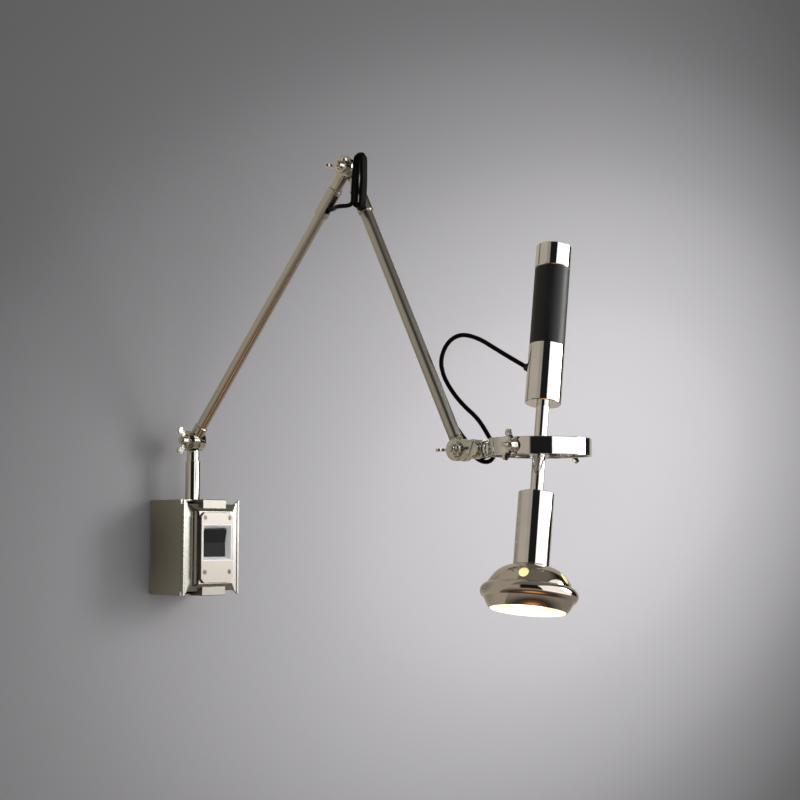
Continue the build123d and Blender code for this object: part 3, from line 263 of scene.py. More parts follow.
def makeGrain():
    # fine parallel lines of a brushed surface; the vector comes in already stretched
    group, start, end = newGroup(
        "brushedGrain",
        [("Vector", "NodeSocketVector", None), ("Scale", "NodeSocketFloat", 900.0),
         ("Low", "NodeSocketFloat", 0.25), ("High", "NodeSocketFloat", 0.4),
         ("Dark", "NodeSocketColor", (0.4, 0.4, 0.4, 1)),
         ("Light", "NodeSocketColor", (0.5, 0.5, 0.5, 1))],
        [("Color", "NodeSocketColor"), ("Roughness", "NodeSocketFloat"), ("Height", "NodeSocketFloat")])
    links = group.links
    line = addNode(group, "ShaderNodeTexNoise", (-600, 100))
    line.inputs["Detail"].default_value = 2.0
    links.new(start.outputs["Vector"], line.inputs["Vector"])
    links.new(start.outputs["Scale"], line.inputs["Scale"])
    patch = addNode(group, "ShaderNodeTexNoise", (-600, -150))
    patch.inputs["Scale"].default_value = 22.0
    patch.inputs["Detail"].default_value = 3.0
    links.new(start.outputs["Vector"], patch.inputs["Vector"])
    both = mathNode(group, "MULTIPLY_ADD", line.outputs["Fac"], 0.6, (-380, 0))
    links.new(mathNode(group, "MULTIPLY", patch.outputs["Fac"], 0.4, (-560, -320)), both.node.inputs[2])
    tint = addNode(group, "ShaderNodeMix", (-120, 120), data_type="RGBA")
    links.new(both, tint.inputs["Factor"])
    links.new(start.outputs["Dark"], tint.inputs["A"])
    links.new(start.outputs["Light"], tint.inputs["B"])
    span = mathNode(group, "SUBTRACT", start.outputs["High"], start.outputs["Low"], (-380, -200))
    rough = mathNode(group, "ADD", mathNode(group, "MULTIPLY", span, both, (-120, -200)),
                     start.outputs["Low"], (60, -200))
    links.new(tint.outputs["Result"], end.inputs["Color"])
    links.new(rough, end.inputs["Roughness"])
    links.new(line.outputs["Fac"], end.inputs["Height"])
    return group


handlingGroup = makeHandling()
grainGroup = makeGrain()


def useGroup(tree, group, vector, at=(-560, 0), **values):
    node = addNode(tree, "ShaderNodeGroup", at, node_tree=group)
    tree.links.new(vector, node.inputs["Vector"])
    for key, value in values.items():
        node.inputs[key.replace("_", " ")].default_value = value
    return node


def addBump(tree, shader, height, strength, distance):
    bump = addNode(tree, "ShaderNodeBump", (-260, -300))
    bump.inputs["Strength"].default_value = strength
    bump.inputs["Distance"].default_value = distance
    tree.links.new(height, bump.inputs["Height"])
    tree.links.new(bump.outputs["Normal"], shader.inputs["Normal"])


def polishedMetal(name, clean, worn, low, high, smudge=18.0):
    # mirror-like plating whose smudges are a little rougher and duller
    mat, tree, shader = newMaterial(name)
    shader.inputs["Metallic"].default_value = 1.0
    marks = useGroup(tree, handlingGroup, objectCoordinates(tree),
                     Smudge_Scale=smudge, Low=low, High=high)
    tint = addNode(tree, "ShaderNodeMix", (-260, 200), data_type="RGBA")
    tint.inputs["A"].default_value = (*clean, 1)
    tint.inputs["B"].default_value = (*worn, 1)
    tree.links.new(marks.outputs["Mask"], tint.inputs["Factor"])
    tree.links.new(tint.outputs["Result"], shader.inputs["Base Color"])
    tree.links.new(marks.outputs["Roughness"], shader.inputs["Roughness"])
    addBump(tree, shader, marks.outputs["Height"], 0.04, 0.0001)
    return mat


def brushedMetal(name, dark, light, low, high, frameMatrix, stretch, scale=900.0, strength=0.12):
    # satin plating with its grain along one direction
    mat, tree, shader = newMaterial(name)
    shader.inputs["Metallic"].default_value = 1.0
    vector = laidAlong(tree, frameMatrix, stretch)
    grain = useGroup(tree, grainGroup, vector, Scale=scale, Low=low, High=high,
                     Dark=(*dark, 1), Light=(*light, 1))
    tree.links.new(grain.outputs["Color"], shader.inputs["Base Color"])
    tree.links.new(grain.outputs["Roughness"], shader.inputs["Roughness"])
    addBump(tree, shader, grain.outputs["Height"], strength, 0.00012)
    return mat


def mouldedPlastic(name, dark, light, low, high, scale, strength, distance, shine=0.5):
    mat, tree, shader = newMaterial(name)
    shader.inputs["Specular IOR Level"].default_value = shine
    marks = useGroup(tree, handlingGroup, objectCoordinates(tree), Smudge_Scale=24.0,
                     Scratch_Scale=scale, Low=low, High=high)
    tint = addNode(tree, "ShaderNodeMix", (-260, 200), data_type="RGBA")
    tint.inputs["A"].default_value = (*dark, 1)
    tint.inputs["B"].default_value = (*light, 1)
    tree.links.new(marks.outputs["Mask"], tint.inputs["Factor"])
    tree.links.new(tint.outputs["Result"], shader.inputs["Base Color"])
    tree.links.new(marks.outputs["Roughness"], shader.inputs["Roughness"])
    addBump(tree, shader, marks.outputs["Height"], strength, distance)
    return mat


upright = Matrix.Identity(4)
# clean colour, worn colour, least and most roughness, how close the smudges lie
metals = {
    "headChrome": ((0.80, 0.79, 0.78), (0.70, 0.69, 0.67), 0.035, 0.09),
    "shadeChrome": ((0.64, 0.59, 0.54), (0.54, 0.49, 0.44), 0.05, 0.12),
    "postPolish": ((0.74, 0.72, 0.68), (0.62, 0.60, 0.55), 0.06, 0.14),
    "framePolish": ((0.42, 0.405, 0.37), (0.35, 0.34, 0.305), 0.22, 0.34),
    "plateScrew": ((0.17, 0.155, 0.13), (0.11, 0.10, 0.08), 0.22, 0.36, 120.0),
    "knuckleNickel": ((0.60, 0.58, 0.52), (0.48, 0.46, 0.40), 0.10, 0.22, 60.0),
    "wingNickel": ((0.72, 0.70, 0.65), (0.58, 0.56, 0.50), 0.08, 0.18, 80.0),
    "screwBright": ((0.68, 0.66, 0.62), (0.52, 0.50, 0.46), 0.14, 0.26, 90.0),
    "baseBrass": ((0.78, 0.72, 0.52), (0.62, 0.56, 0.38), 0.20, 0.35, 60.0),
}
# dark and light of the grain, least and most roughness, what it lies along, its stretch
satins = {
    "tabSatin": ((0.25, 0.24, 0.215), (0.32, 0.305, 0.275), 0.30, 0.42, upright, (0.06, 1.0, 1.0)),
    "satinBox": ((0.40, 0.385, 0.345), (0.48, 0.46, 0.42), 0.30, 0.40, upright, (1.0, 1.0, 0.06)),
    "switchSatin": ((0.30, 0.275, 0.25), (0.37, 0.34, 0.31), 0.34, 0.44, upright, (1.0, 1.0, 0.06)),
    "zincPlate": ((0.50, 0.50, 0.49), (0.60, 0.60, 0.59), 0.38, 0.50, upright, (0.08, 1.0, 1.0)),
    "lowerSatin": ((0.52, 0.49, 0.45), (0.62, 0.59, 0.54), 0.20, 0.30, lowerFrame, (0.05, 1.0, 1.0)),
    "upperSatin": ((0.46, 0.44, 0.40), (0.56, 0.54, 0.49), 0.24, 0.34, upperFrame, (0.05, 1.0, 1.0)),
}
# dark, light, least and most roughness, then the bump's scale, strength and depth, and the shine
plastics = {
    "insertWhite": ((0.88, 0.87, 0.88), (0.92, 0.91, 0.92), 0.22, 0.34, 700.0, 0.03, 0.0001),
    "mechanismWhite": ((0.70, 0.70, 0.67), (0.80, 0.80, 0.78), 0.45, 0.60, 500.0, 0.08, 0.0002),
    "rockerBlack": ((0.006, 0.006, 0.007), (0.012, 0.012, 0.013), 0.40, 0.50, 700.0, 0.03, 0.0001, 0.12),
    "gripBlack": ((0.006, 0.006, 0.007), (0.012, 0.012, 0.013), 0.40, 0.50, 1400.0, 0.2, 0.0002, 0.4),
    "cordBlack": (grey(0.002), grey(0.004), 0.42, 0.55, 1200.0, 0.1, 0.0001, 0.06),
}
finish = {name: polishedMetal(name, *values) for name, values in metals.items()}
finish.update((name, brushedMetal(name, *values)) for name, values in satins.items())
finish.update((name, mouldedPlastic(name, *values)) for name, values in plastics.items())

# the bulb and the shade's inside; heights run along the head, in metres
bulbLook = {"from": -0.185, "to": -0.135, "glass": (0.60, 0.57, 0.46), "strength": 4.0, "roughness": 0.4}
paintedGlowLook = {"from": -0.188, "to": -0.150, "strength": 0.3, "roughness": 0.5}


def makeBulbGlow():
    # lit frosted glass, warmer and dimmer towards the neck
    mat, tree, shader = newMaterial("bulbGlow")
    vector = laidAlong(tree, headFrame)
    place = addNode(tree, "ShaderNodeSeparateXYZ", (-560, 0))
    tree.links.new(vector, place.inputs["Vector"])
    ramp = addNode(tree, "ShaderNodeValToRGB", (-260, 0))
    span = addNode(tree, "ShaderNodeMapRange", (-420, 0))
    span.inputs["From Min"].default_value = bulbLook["from"]
    span.inputs["From Max"].default_value = bulbLook["to"]
    tree.links.new(place.outputs["Z"], span.inputs["Value"])
    tree.links.new(span.outputs["Result"], ramp.inputs["Fac"])
    setRamp(ramp, [(0.0, (1.0, 0.94, 0.82)), (0.2, (0.85, 0.74, 0.55)), (0.3, (0.20, 0.18, 0.10)),
                   (1.0, (0.10, 0.09, 0.045))])
    tree.links.new(ramp.outputs["Color"], shader.inputs["Emission Color"])
    shader.inputs["Base Color"].default_value = (*bulbLook["glass"], 1)
    shader.inputs["Emission Strength"].default_value = bulbLook["strength"]
    shader.inputs["Roughness"].default_value = bulbLook["roughness"]
    return mat


def makeReflector():
    # the shade's inside: satin white lacquer with a painted glow of the bulb's light, colour and glow
    # turning yellower towards the vents
    mat, tree, shader = newMaterial("reflectorPaintedGlow")
    place = addNode(tree, "ShaderNodeSeparateXYZ", (-560, 0))
    tree.links.new(laidAlong(tree, headFrame), place.inputs["Vector"])
    span = addNode(tree, "ShaderNodeMapRange", (-420, 0))
    span.inputs["From Min"].default_value = paintedGlowLook["from"]
    span.inputs["From Max"].default_value = paintedGlowLook["to"]
    tree.links.new(place.outputs["Z"], span.inputs["Value"])
    ramp = addNode(tree, "ShaderNodeValToRGB", (-260, 0))
    tree.links.new(span.outputs["Result"], ramp.inputs["Fac"])
    setRamp(ramp, [(0.0, (0.88, 0.85, 0.74)), (1.0, (0.74, 0.68, 0.42))])
    tree.links.new(ramp.outputs["Color"], shader.inputs["Base Color"])
    # painted glow: the same colour shines as emission though the inside is no lamp
    tree.links.new(ramp.outputs["Color"], shader.inputs["Emission Color"])
    shader.inputs["Emission Strength"].default_value = paintedGlowLook["strength"]
    shader.inputs["Roughness"].default_value = paintedGlowLook["roughness"]
    return mat


finish["bulbGlow"] = makeBulbGlow()
finish["reflectorPaintedGlow"] = makeReflector()
print("finishes ready:", len(finish))

dressed = {
    "headChrome": ["handle_barrel", "handle_cap", "lampholder_cover", "head_rod", "rod_hub",
                   "gimbal_ring", "inner_ring", "ring_stem"],
    "shadeChrome": ["shade"],
    "postPolish": ["post_sleeve", "post_spindle"],
    "framePolish": ["front_frame"],
    "tabSatin": ["frame_tabs"],
    "knuckleNickel": ["lower_arm_knuckle", "elbow_knuckle", "upper_arm_knuckle", "wrist_knuckle",
                      "ring_bracket"],
    "wingNickel": ["shoulder_wing_nut", "elbow_wing_nut", "wrist_wing_nut", "near_pivot_nut",
                   "far_pivot_nut"],
    "screwBright": ["shoulder_bolt", "elbow_bolt", "wrist_bolt", "shoulder_washers", "elbow_washers",
                    "wrist_washers", "lock_screw", "stem_nut", "pivot_screws", "trunnion_screws",
                    "rod_nuts", "post_nut", "spindle_retainer"],
    "plateScrew": ["plate_screws"],
    "satinBox": ["box_body"],
    "switchSatin": ["switch_plate"],
    "zincPlate": ["back_plate", "handle_core"],
    "lowerSatin": ["lower_tube", "lower_collar"],
    "upperSatin": ["upper_tube"],
    "insertWhite": ["switch_insert"],
    "mechanismWhite": ["switch_housing", "terminal_block", "lampholder"],
    "rockerBlack": ["rocker"],
    "gripBlack": ["grip_sleeve", "cable_gland"],
    "cordBlack": ["cable_grommet"],
    "baseBrass": ["bulb_base"],
    "bulbGlow": ["bulb_glass"],
}
for finishName, names in dressed.items():
    for name in names:
        nodes[name].material_slots[0].material = finish[finishName]


# ---------- wall and floor
def makePlane(name, corners, material):
    bm = bmesh.new()
    bm.faces.new([bm.verts.new(c) for c in corners])
    mesh = bpy.data.meshes.new(name)
    bm.to_mesh(mesh)
    bm.free()
    mesh.materials.append(material)
    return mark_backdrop(linkIt(name, mesh))


def makeBackdrop(name, colourLink, paintedReflection):
    # plain paint that shows from its front only, so the lamp is seen from behind too
    mat, tree, shader = newMaterial(name)
    shader.inputs["Roughness"].default_value = 0.9
    shader.inputs["Specular IOR Level"].default_value = 0.1
    colourLink(tree, shader)
    clear = addNode(tree, "ShaderNodeBsdfTransparent", (100, -200))
    mirror = addNode(tree, "ShaderNodeMixShader", (320, -100))
    pick = addNode(tree, "ShaderNodeMixShader", (520, 0))
    side = addNode(tree, "ShaderNodeNewGeometry", (100, 250))
    path = addNode(tree, "ShaderNodeLightPath", (100, 500))
    # mirror rays see a painted reflection in place of the paint
    tree.links.new(path.outputs["Is Glossy Ray"], mirror.inputs["Fac"])
    tree.links.new(shader.outputs["BSDF"], mirror.inputs[1])
    tree.links.new(paintedReflection(tree), mirror.inputs[2])
    tree.links.new(side.outputs["Backfacing"], pick.inputs["Fac"])
    tree.links.new(mirror.outputs["Shader"], pick.inputs[1])
    tree.links.new(clear.outputs["BSDF"], pick.inputs[2])
    tree.links.new(pick.outputs["Shader"], tree.nodes["Material Output"].inputs["Surface"])
    return mat


def paintedWarmPool(tree):
    # painted reflection: polished metal sees a painted warm pool of light under the lamp and a painted
    # dark floor round it, a glow that only mirror rays see
    shift = addNode(tree, "ShaderNodeMapping", (-900, -400), vector_type="TEXTURE")
    shift.inputs["Location"].default_value = (*room["paintedWarmPlace"], studio["floorHeight"])
    shift.inputs["Scale"].default_value = (room["paintedWarmReach"], room["paintedWarmReach"], 1)
    tree.links.new(objectCoordinates(tree, (-1200, -400)), shift.inputs["Vector"])
    far = addNode(tree, "ShaderNodeVectorMath", (-700, -400), operation="LENGTH")
    tree.links.new(shift.outputs["Vector"], far.inputs[0])
    ramp = addNode(tree, "ShaderNodeValToRGB", (-400, -400))
    tree.links.new(far.outputs["Value"], ramp.inputs["Fac"])
    setRamp(ramp, [(0.0, (1.0, 0.52, 0.22)), (0.13, (0.80, 0.36, 0.13)), (0.26, (0.17, 0.075, 0.035)),
                   (0.45, (0.05, 0.04, 0.034)), (0.68, (0.18, 0.165, 0.14)), (1.0, (0.30, 0.275, 0.23))])
    glow = addNode(tree, "ShaderNodeEmission", (-100, -400))
    tree.links.new(ramp.outputs["Color"], glow.inputs["Color"])
    return glow.outputs["Emission"]


def paintedWallReflection(tree):
    # painted reflection: metal sees the wall as a taupe glow like the rest of the room, with a painted
    # shadow beside the box
    far = addNode(tree, "ShaderNodeVectorMath", (-700, -400), operation="LENGTH")
    tree.links.new(objectCoordinates(tree, (-1200, -400)), far.inputs[0])
    span = addNode(tree, "ShaderNodeMapRange", (-560, -400))
    span.inputs["From Max"].default_value = room["paintedShadowReach"]
    tree.links.new(far.outputs["Value"], span.inputs["Value"])
    ramp = addNode(tree, "ShaderNodeValToRGB", (-400, -400))
    tree.links.new(span.outputs["Result"], ramp.inputs["Fac"])
    # painted shadow: the glow is darker close to the box
    setRamp(ramp, [(0.1, [0.22 * c for c in room["taupe"]]), (0.3, [0.66 * c for c in room["taupe"]]),
                   (1.0, room["taupe"])])
    glow = addNode(tree, "ShaderNodeEmission", (-100, -400))
    tree.links.new(ramp.outputs["Color"], glow.inputs["Color"])
    return glow.outputs["Emission"]


def paintedPoolColour(tree, shader):
    # one soft pool of light painted into the wall's colour, to the right and low
    shift = addNode(tree, "ShaderNodeMapping", (-900, 0), vector_type="TEXTURE")
    shift.inputs["Location"].default_value = studio["poolMiddle"]
    shift.inputs["Rotation"].default_value = (0, radians(studio["poolTurn"]), 0)
    shift.inputs["Scale"].default_value = studio["poolSize"]
    tree.links.new(objectCoordinates(tree), shift.inputs["Vector"])
    far = addNode(tree, "ShaderNodeVectorMath", (-700, 0), operation="LENGTH")
    tree.links.new(shift.outputs["Vector"], far.inputs[0])
    ramp = addNode(tree, "ShaderNodeValToRGB", (-400, 0))
    ramp.color_ramp.interpolation = "CARDINAL"
    tree.links.new(far.outputs["Value"], ramp.inputs["Fac"])
    stops = [(0.0, 0.505), (0.17, 0.505), (0.33, 0.44), (0.56, 0.30), (0.78, 0.175), (1.0, 0.125)]
    setRamp(ramp, [(place, (level, level * 0.985, level * 1.03)) for place, level in stops])
    tree.links.new(ramp.outputs["Color"], shader.inputs["Base Color"])


def floorColour(tree, shader):
    speck = addNode(tree, "ShaderNodeTexNoise", (-600, 0))
    speck.inputs["Scale"].default_value = 3.0
    tree.links.new(objectCoordinates(tree), speck.inputs["Vector"])
    ramp = addNode(tree, "ShaderNodeValToRGB", (-400, 0))
    tree.links.new(speck.outputs["Fac"], ramp.inputs["Fac"])
    setRamp(ramp, [(0.3, grey(studio["floorGrey"])), (0.7, grey(studio["floorGrey"] * 1.04))])
    tree.links.new(ramp.outputs["Color"], shader.inputs["Base Color"])


half, low, gap = studio["wallSize"] / 2, studio["floorHeight"], studio["wallGap"]
makePlane("wallPaint", [(-half, gap, low), (half, gap, low), (half, gap, half), (-half, gap, half)],
          makeBackdrop("wallPaint", paintedPoolColour, paintedWallReflection))
makePlane("floorPaint", [(-half, -half, low), (half, -half, low), (half, gap, low), (-half, gap, low)],
          makeBackdrop("floorPaint", floorColour, paintedWarmPool))


def makeWorld():
    # even grey fill; polished metal sees taupe walls and a dark side where the camera stands
    world = bpy.data.worlds.new("studioRoom")
    bpy.context.scene.world = world
    world.use_nodes = True
    tree = world.node_tree
    paint = tree.nodes["Background"]
    paint.inputs["Strength"].default_value = 1.0
    direction = addNode(tree, "ShaderNodeTexCoord", (-1400, 0))
    parts = addNode(tree, "ShaderNodeSeparateXYZ", (-1200, 0))
    tree.links.new(direction.outputs["Generated"], parts.inputs["Vector"])
    angle = mathNode(tree, "ARCTAN2", parts.outputs["Y"], parts.outputs["X"], (-1000, 0))
    turned = mathNode(tree, "MULTIPLY_ADD", angle, 1 / (2 * pi), (-820, 0))
    turned.node.inputs[2].default_value = 0.5
    side = addNode(tree, "ShaderNodeValToRGB", (-620, 0))
    tree.links.new(turned, side.inputs["Fac"])
    back = Vector((-sin(azimuth), -cos(azimuth), 0))
    middle = atan2(back.y, back.x) / (2 * pi) + 0.5
    start, end, edge = (room[key] / 360 for key in ("darkFrom", "darkTo", "edge"))
    setRamp(side, [(middle + start - edge, grey(0)), (middle + start + edge, grey(1)),
                   (middle + end - edge, grey(1)), (middle + end + edge, grey(0))])
    top = addNode(tree, "ShaderNodeMapRange", (-820, -260))
    top.inputs["From Min"].default_value, top.inputs["From Max"].default_value = room["bandTop"]
    top.inputs["To Min"].default_value, top.inputs["To Max"].default_value = 1.0, 0.0
    tree.links.new(parts.outputs["Z"], top.inputs["Value"])
    shaded = mathNode(tree, "MULTIPLY", side.outputs["Color"], top.outputs["Result"], (-320, -100))
    height = addNode(tree, "ShaderNodeMapRange", (-820, -520))
    height.inputs["From Min"].default_value = -1.0
    tree.links.new(parts.outputs["Z"], height.inputs["Value"])
    fade = addNode(tree, "ShaderNodeValToRGB", (-620, -520))
    tree.links.new(height.outputs["Result"], fade.inputs["Fac"])
    setRamp(fade, [(place, [part * c for c in room["taupe"]]) for place, part in
                   ((0.3, 1.0), (0.68, 0.9), (0.78, 0.72), (0.86, 0.42), (1.0, 0.42))])
    seen = addNode(tree, "ShaderNodeMix", (-160, -200), data_type="RGBA")
    tree.links.new(shaded, seen.inputs["Factor"])
    tree.links.new(fade.outputs["Color"], seen.inputs["A"])
    seen.inputs["B"].default_value = (*room["dark"], 1)
    path = addNode(tree, "ShaderNodeLightPath", (-160, 300))
    mix = addNode(tree, "ShaderNodeMix", (60, 100), data_type="RGBA")
    mix.inputs["A"].default_value = (*grey(studio["worldFill"]), 1)
    tree.links.new(path.outputs["Is Glossy Ray"], mix.inputs["Factor"])
    tree.links.new(seen.outputs["Result"], mix.inputs["B"])
    tree.links.new(mix.outputs["Result"], paint.inputs["Color"])


makeWorld()
print("studio ready")

# ---------- spun shade with its vents, in metres in the head's own frame
shadeShape = {
    "around": 160, "arcSteps": 12, "wall": 0.0012,
    "neck": (0.0210, -0.13755), "domeMiddle": (0.0405, -0.1482), "domeRim": (0.0480, -0.1605),
    "bead": (0.0552, -0.1680), "skirtTop": (0.0504, -0.1762), "opening": (0.0436, -0.1875),
    "spigot": 0.01845, "spigotTop": -0.12555, "skirtBow": 0.0004,
    "vents": 5, "ventStart": 290.5, "ventRing": 0.0428, "ventHeight": -0.1512,
    "ventRadius": 0.0054, "ventStretch": 1.3, "ventSlope": 50.0, "ventDepth": 0.012, "ventSides": 48,
    "sharpFrom": 32.0,
    "inwardFrom": -0.2,   # faces that lean inward by more than this look at the bulb
}


def arcThrough(first, middle, last, steps):
    # points on the circle through three places of a half section
    (ax, ay), (bx, by), (cx, cy) = first, middle, last
    d = 2 * (ax * (by - cy) + bx * (cy - ay) + cx * (ay - by))
    a2, b2, c2 = ax * ax + ay * ay, bx * bx + by * by, cx * cx + cy * cy
    x = (a2 * (by - cy) + b2 * (cy - ay) + c2 * (ay - by)) / d
    y = (a2 * (cx - bx) + b2 * (ax - cx) + c2 * (bx - ax)) / d
    radius = Vector((ax - x, ay - y)).length
    start, end = atan2(ay - y, ax - x), atan2(cy - y, cx - x)
    sweep = (end - start + pi) % (2 * pi) - pi
    turns = [start + sweep * i / steps for i in range(steps + 1)]
    return [(x + radius * cos(t), y + radius * sin(t)) for t in turns]


def spunMesh(name, section, place, around):
    # a closed half section turned full circle about z, then set in its place
    bm = bmesh.new()
    verts = [bm.verts.new((r, 0, z)) for r, z in section]
    edges = [bm.edges.new((a, b)) for a, b in zip(verts, verts[1:] + verts[:1])]
    bmesh.ops.spin(bm, geom=verts + edges, cent=(0, 0, 0), axis=(0, 0, 1), angle=2 * pi, steps=around,
                   use_merge=True)
    bmesh.ops.remove_doubles(bm, verts=bm.verts, dist=0.000001)
    bmesh.ops.recalc_face_normals(bm, faces=bm.faces)
    bm.transform(place)
    mesh = bpy.data.meshes.new(name)
    bm.to_mesh(mesh)
    bm.free()
    return mesh


def markSharp(bm, angle):
    for face in bm.faces:
        face.smooth = True
    for edge in bm.edges:
        edge.smooth = edge.calc_face_angle(0) < radians(angle)


def cutAway(obj, cutter):
    # the cutters come off through a Boolean, whose result becomes the piece's own mesh
    step = obj.modifiers.new("cutAway", "BOOLEAN")
    step.operation, step.solver, step.object = "DIFFERENCE", "EXACT", cutter
    step.material_mode = "TRANSFER"   # the cut faces keep the cutter's own finish
    bpy.context.view_layer.update()
    cut = bpy.data.meshes.new_from_object(obj.evaluated_get(bpy.context.evaluated_depsgraph_get()))
    obj.modifiers.clear()
    obj.data = cut
    bpy.data.objects.remove(cutter)


def shadeSection(shift):
    shape = shadeShape
    neck, dome, rim, bead, skirt, opening = (
        (shape[key][0] - shift, shape[key][1]) for key in
        ("neck", "domeMiddle", "domeRim", "bead", "skirtTop", "opening"))
    neck = (neck[0], neck[1] - shift)
    dome = (shape["domeMiddle"][0] - shift * 0.7, dome[1] - shift * 0.7)
    bow = shape["skirtBow"]
    halfWay = ((skirt[0] + opening[0]) / 2 + bow, (skirt[1] + opening[1]) / 2 - bow)
    return (arcThrough(neck, dome, rim, shape["arcSteps"])[:-1]
            + arcThrough(rim, bead, skirt, shape["arcSteps"])[:-1]
            + arcThrough(skirt, halfWay, opening, shape["arcSteps"]))


def makeShade():
    shape = shadeShape
    inner = shadeSection(shape["wall"])[::-1]
    neck, spigot, spigotInside = shape["neck"], shape["spigot"], shape["spigot"] - shape["wall"]
    closing = [(spigotInside, neck[1] - shape["wall"]), (spigotInside, shape["spigotTop"]),
               (spigot, shape["spigotTop"]), (spigot, neck[1])]
    mesh = spunMesh("spunShade", shadeSection(0) + inner + closing, headFrame, shape["around"])
    mesh.materials.append(finish["shadeChrome"])
    mesh.materials.append(finish["reflectorPaintedGlow"])
    shade = linkIt("spunShade", mesh)
    bm = bmesh.new()
    stretch = Matrix.Diagonal((shape["ventStretch"], 1, 1, 1))
    for i in range(shape["vents"]):
        turn = Matrix.Rotation(radians(shape["ventStart"]) + 2 * pi * i / shape["vents"], 4, "Z")
        lean = turnAbout("Y", shape["ventSlope"])
        place = Matrix.Translation((shape["ventRing"], 0, shape["ventHeight"])) @ lean
        bmesh.ops.create_cone(bm, cap_ends=True, segments=shape["ventSides"], depth=shape["ventDepth"],
                              radius1=shape["ventRadius"], radius2=shape["ventRadius"],
                              matrix=headFrame @ turn @ place @ stretch)
    drills = bpy.data.meshes.new("ventDrills")
    bm.to_mesh(drills)
    bm.free()
    drills.materials.append(finish["reflectorPaintedGlow"])
    cutAway(shade, linkIt("ventDrills", drills))
    bm = bmesh.new()
    bm.from_mesh(shade.data)
    markSharp(bm, shape["sharpFrom"])
    axisPoint, axis = headFrame.translation, headFrame.to_3x3() @ Vector((0, 0, 1))
    for face in bm.faces:
        arm = face.calc_center_median() - axisPoint
        arm -= axis * arm.dot(axis)
        if face.normal.dot(arm) < shape["inwardFrom"] * arm.length:
            face.material_index = 1
    bm.to_mesh(shade.data)
    bm.free()
    white = sum(face.material_index == 1 for face in shade.data.polygons)
    print("shade faces:", len(shade.data.polygons), "of them white:", white)
    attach(shade, "lamp_head")
    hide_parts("shade")


makeShade()
print("shade spun")

# ---------- cord, in six stretches drawn in place of their CAD pieces; the hank rides with the upper arm
cordShape = {"diameter": 0.0054, "bevelSteps": 5, "alongSteps": 8, "leastStep": 0.00005, "weld": 0.00001}


def beside(pivot, places):
    # points given in millimetres as outward, up and aside from a pivot
    at = armFrame(pivot, 0)
    return [at @ (Vector(p) * 0.001) for p in places]


def drawCord(name, points):
    # one smooth line through the cord's own points, then a round tube on it
    data = bpy.data.curves.new(name, "CURVE")
    data.dimensions = "3D"
    data.resolution_u = cordShape["alongSteps"]
    spline = data.splines.new("NURBS")
    spline.points.add(len(points) - 1)
    for point, place in zip(spline.points, points):
        point.co = (*place, 1)
    spline.order_u = 3
    spline.use_endpoint_u = True
    route = linkIt(name + "Route", data)
    bpy.context.view_layer.update()
    bare = bpy.data.meshes.new_from_object(route.evaluated_get(bpy.context.evaluated_depsgraph_get()))
    line = [v.co.copy() for v in bare.vertices]
    # double points are left out of the cord's own line
    line = line[:1] + [b for a, b in zip(line, line[1:]) if (b - a).length > cordShape["leastStep"]]
    data.bevel_depth = cordShape["diameter"] / 2
    data.bevel_resolution = cordShape["bevelSteps"]
    data.use_fill_caps = True
    bpy.context.view_layer.update()
    mesh = bpy.data.meshes.new_from_object(route.evaluated_get(bpy.context.evaluated_depsgraph_get()))
    bpy.data.objects.remove(route)
    bpy.data.meshes.remove(bare)
    bm = bmesh.new()
    bm.from_mesh(mesh)
    bmesh.ops.remove_doubles(bm, verts=bm.verts, dist=cordShape["weld"])
    bmesh.ops.recalc_face_normals(bm, faces=bm.faces)
    for face in bm.faces:
        face.smooth = len(face.verts) == 4
    bm.to_mesh(mesh)
    bm.free()
    mesh.name = name
    mesh.materials.clear()
    mesh.materials.append(finish["cordBlack"])
    obj = linkIt(name, mesh)
    return obj


hank = {
    "turns": 3, "loopRadius": 5.0, "run": 54.5, "pitch": 5.9, "lean": 2.0, "tilt": -4.7,
    "place": (33.0, -26.0, 15.0), "exit": 6.0, "end": 5.4, "armFace": 10.0,
    "sunk": 4.0,                  # how deep the hank starts inside the arm
    "grow": (-2.6, -1.0, -3.8),   # how much longer each loop's top is
    "bow": 1.0,                   # how far the loops' sides bow out
    "wide": 1.04, "corner": (0.8, 0.95), "crown": 1.12,   # a loop's end, in loop radii
    "partWay": 0.6, "foot": (1.4, -0.6), "drop": 0.4,     # points on a loop's sides and bottom
}


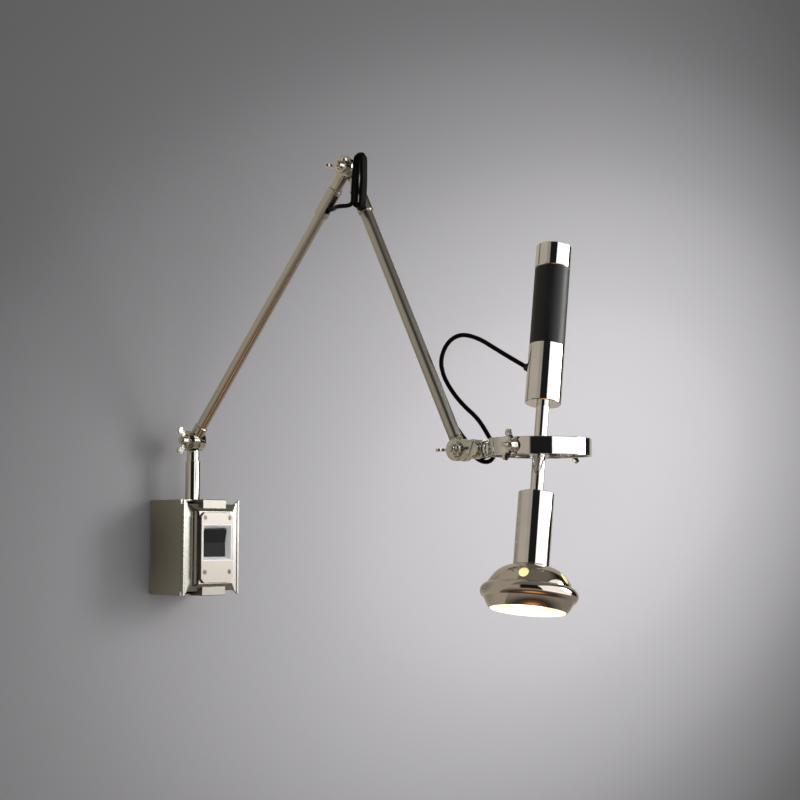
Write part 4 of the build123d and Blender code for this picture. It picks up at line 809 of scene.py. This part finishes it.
def hankPoints():
    # the spare cord's loops, in millimetres in the hank's own frame
    r, side, bow, drop = hank["loopRadius"], hank["run"] / 2, hank["bow"], hank["drop"]
    wide, crown = r * hank["wide"], r * hank["crown"]
    cornerOut, cornerUp = (r * part for part in hank["corner"])
    low, lower, (footUp, footDown) = -side - r, -side * hank["partWay"], hank["foot"]
    points = [(-r, low, hank["armFace"] - hank["place"][2] - hank["sunk"]), (-r, low - drop, 0)]
    for k in range(hank["turns"]):
        lean, lift = hank["lean"] * k, hank["pitch"] * k
        nextLean, nextLift = lean + hank["lean"], lift + hank["pitch"]
        top = side + hank["grow"][k]
        points += [(lean + wide, low + footUp, lift), (lean + r + bow / 2, lower, lift + drop)]
        points += [(lean + r + bow + hank["lean"] / 2, 0, (lift + nextLift) / 2)]
        points += [(nextLean + r + bow / 2, top * hank["partWay"], nextLift - drop)]
        turn = ((wide, 0), (cornerOut, cornerUp), (0, crown), (-cornerOut, cornerUp), (-wide, 0))
        points += [(nextLean + x, top + y, nextLift) for x, y in turn]
        points += [(nextLean - r - bow / 2, top / 2, nextLift), (nextLean - r - bow, 0, nextLift)]
        points += [(nextLean - r - bow / 2, lower, nextLift)]
        if k < hank["turns"] - 1:
            points += [(nextLean - wide, low + footUp, nextLift), (nextLean, low + footDown, nextLift)]
    across, reach = nextLean - r, hank["exit"]
    points += [(across, -side + reach, nextLift), (across, -side - reach, nextLift)]
    points += [(across - reach - hank["end"], -side - reach, nextLift)]
    place = Matrix.Translation(Vector(hank["place"]) * 0.001)
    at = armFrame(elbow, 0) @ place @ turnAbout("Z", hank["tilt"])
    return [at @ (Vector(p) * 0.001) for p in points]


spare = hankPoints()
toSlot = [spare[-1]] + beside(elbow, [(7, -57.2, 32.7), (-8, -54.5, 17), (-21, -53.5, 5.8)])
toSlot.append(elbowBackFrame @ Vector((0.0605, 0.0028, 0.001)))

wristPoints = [wristBackFrame @ Vector((0.034, 0, -0.003))] + beside(wrist, [
    (-17, 30, -15.5), (-11.5, 19, -20.5), (-1, 6.5, -21.8), (8, -6, -18.5), (19, -14.5, -12.5)])
ringPoints = beside(wrist, [(24, -15, -12), (33, -13.8, -15), (37, -5, -17.5), (35, 5, -18),
                            (29, 18, -14.5)])
headPoints = beside(wrist, [(29, 18, -14.5), (16.5, 37.5, -13), (-3.5, 54, -11.6), (-19.5, 72.5, -10.4),
                            (-31, 92, -9.6), (-34.5, 111, -9.4), (-25, 131.5, -9.9), (-7, 140.5, -11.3),
                            (17, 134, -13), (40, 119.5, -14.8)])
gland = {"height": 0.084, "turn": 190.0, "rise": 30.0, "barrel": 0.021, "length": 0.0045,
         "straight": 0.016, "sunk": 0.004}
glandFrame = (headFrame @ Matrix.Translation((0, 0, gland["height"])) @ turnAbout("Z", gland["turn"])
              @ turnAbout("Y", 90 - gland["rise"]))
mouth = gland["barrel"] / cos(radians(gland["rise"])) + gland["length"]
headIn = [glandFrame @ Vector((0, 0, mouth + gland["straight"])),
          glandFrame @ Vector((0, 0, mouth - gland["sunk"]))]

wristEnd = (wristPoints[-2] + wristPoints[-1]) / 2
ringEnd = (ringPoints[-2] + ringPoints[-1]) / 2
headSplit = (headPoints[4] + headPoints[5]) / 2

elbowHank = drawCord("elbowHank", spare)
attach(elbowHank, "upper_arm")
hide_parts("elbow_hank")

elbowLead = drawCord("elbowLead", toSlot)
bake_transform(elbowLead)
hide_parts("elbow_lead")

wristLine = wristPoints[:-1] + [wristEnd]
wristLead = drawCord("wristLead", wristLine)
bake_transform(wristLead)
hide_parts("wrist_lead")

ringLine = [wristEnd] + ringPoints[:-1] + [ringEnd]
ringLead = drawCord("ringLead", ringLine)
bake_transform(ringLead)
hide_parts("ring_lead")

lowerLine = [ringEnd] + headPoints[:5] + [headSplit]
lowerHeadCord = drawCord("lowerHeadCord", lowerLine)
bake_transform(lowerHeadCord)
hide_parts("lower_head_cord")

upperLine = [headSplit] + headPoints[5:] + headIn
upperHeadCord = drawCord("upperHeadCord", upperLine)
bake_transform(upperHeadCord)
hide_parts("upper_head_cord")
print("cords drawn")
